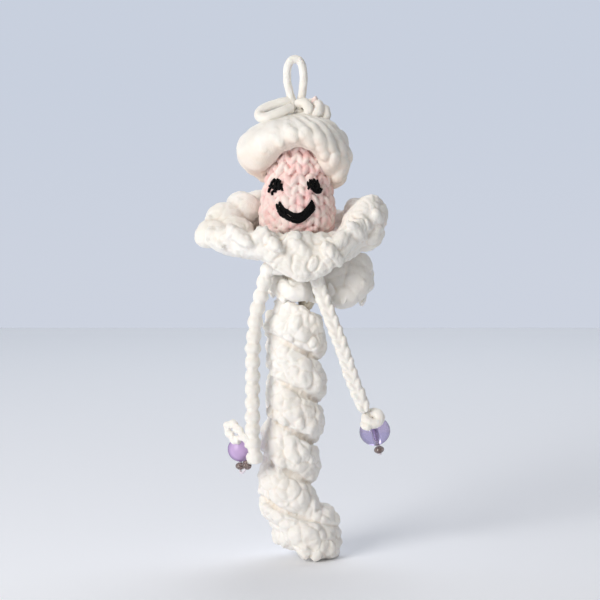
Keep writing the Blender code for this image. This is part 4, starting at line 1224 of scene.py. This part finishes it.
def bored(radius, height, bore, steps=20):
    # half outline of a ball with a hole along its axis
    low = sqrt(max(0, 1 - (bore / radius) ** 2))
    outline = []
    for k in range(steps + 1):
        z = height / 2 * low * cos(pi * k / steps)
        outline.append((radius * sqrt(max(0, 1 - (2 * z / height) ** 2)), z))
    return outline


def beadPiece(name, centre, shape, axis, finish, body, slot, node, sides=48):
    bm = bmesh.new()
    spun(bm, bored(*shape), centre, axis, sides=sides)
    handPiece(name, bm, finish, body, slot, node)


def seedBead(name, centre, radius, axis, body, node):
    height, bore = 0.0024, 0.0006
    shape = (radius, height, bore)
    beadPiece(name, centre, shape, axis, smokyGlass, body, "smoky_glass", node, sides=28)


beadBore = 0.00085
leftShape = (0.00405, 0.0079, beadBore)
leftBead = ("left_bead", "lavender_glass", "left_bead")
beadPiece("leftBead", leftHand["bead"], leftShape, upward, lavenderGlass, *leftBead)
for label, (place, axis) in zip(("Lower", "Front"), leftHand["seeds"]):
    node = "left_seed_bead_" + label.lower()
    seedBead("leftSeedBead" + label, Vector(place) * mm, 0.0016, axis, "left_hand", node)
bm = bmesh.new()
threadRoute = (
    (-18.0, -6.6, -117.2), (-17.4, -5.4, -118.0), (-17.4, -5.4, -122.2), (-17.4, -5.4, -127.6),
    (-17.4, -5.5, -129.3), (-16.8, -6.9, -129.6), (-15.8, -8.6, -128.2), (-15.2, -9.4, -126.6),
    (-14.4, -10.2, -125.2),
)
tube(bm, smoothRoute(millimetres(threadRoute), fineStep), 0.0004, sides=8)
handPiece("leftBeadThread", bm, paleThread, "left_hand", "thread", "left_bead_thread")

# right hand: a yarn ring over a clear purple bead and a seed bead
rightHand = {
    "bead": Vector((25.4, -6.2, -116.3)) * mm,
    "axis": (-0.222537, 0, 0.974924),
    "out": Vector((-0.155, -0.7, 0.72)).normalized(),
    "reach": 0.0068,
    "ring": 0.002,
    "thick": 0.0034,
}
bm = bmesh.new()
facing, rightBeadPlace, ringRadius = rightHand["out"], rightHand["bead"], rightHand["ring"]
ringCentre = rightBeadPlace + facing * rightHand["reach"]
ringUp = (upward - facing * facing.z).normalized()
ringSide = ringUp.cross(facing)
ringLine = []
for k in range(40):
    a = 2 * pi * k / 40
    wide = 1 + 0.12 * cos(a)
    spoke = ringSide * cos(a) * wide * 1.08 + ringUp * sin(a)
    ringLine.append(ringCentre + ringRadius * spoke + facing * 0.0003 * sin(2 * a))
tube(bm, ringLine, rightHand["thick"] / 2, closed=True)
for k in range(9):
    a = 2 * pi * k / 9 + 0.3
    out = ringSide * cos(a) + ringUp * sin(a)
    lean = ringUp * cos(a) - ringSide * sin(a) + facing * 0.5 + out * 0.25
    at = ringCentre + out * ringRadius * 1.12 + facing * 0.0003
    grain(bm, at, lean, facing, (0.0036, 0.0021, 0.0018))
at = ringCentre - ringSide * 0.0016 - ringUp * 0.003
grain(bm, at, ringSide - ringUp * 0.6, facing, (0.0046, 0.0032, 0.0026))
handPiece("rightHandRing", bm, creamYarn, "right_hand", "cream_yarn", "right_hand_ring", melted=True)
axis = Vector(rightHand["axis"])
rightBead = ("right_bead", "purple_glass", "right_bead")
rightShape = (0.00495, 0.0092, beadBore)
beadPiece("rightBead", rightBeadPlace, rightShape, axis, purpleGlass, *rightBead, sides=64)
# half the bead, a gap and half the seed bead
seedPlace = rightBeadPlace - axis * (0.0046 + 0.0003 + 0.0012)
seedBead("rightSeedBead", seedPlace, 0.00165, axis, "right_hand", "right_seed_bead")
bm = bmesh.new()
crown = ringCentre + ringUp * ringRadius
route = [crown + Vector((-0.0001, 0.0016, 0.0003))]
route += [rightBeadPlace + axis * along for along in (0.005, 0.002, -0.002)]
route += [seedPlace, seedPlace - axis * 0.0016]
tube(bm, smoothRoute(route, fineStep), 0.00055, sides=8)
handPiece("rightBeadThread", bm, paleThread, "right_hand", "thread", "right_bead_thread")
print("hands made")
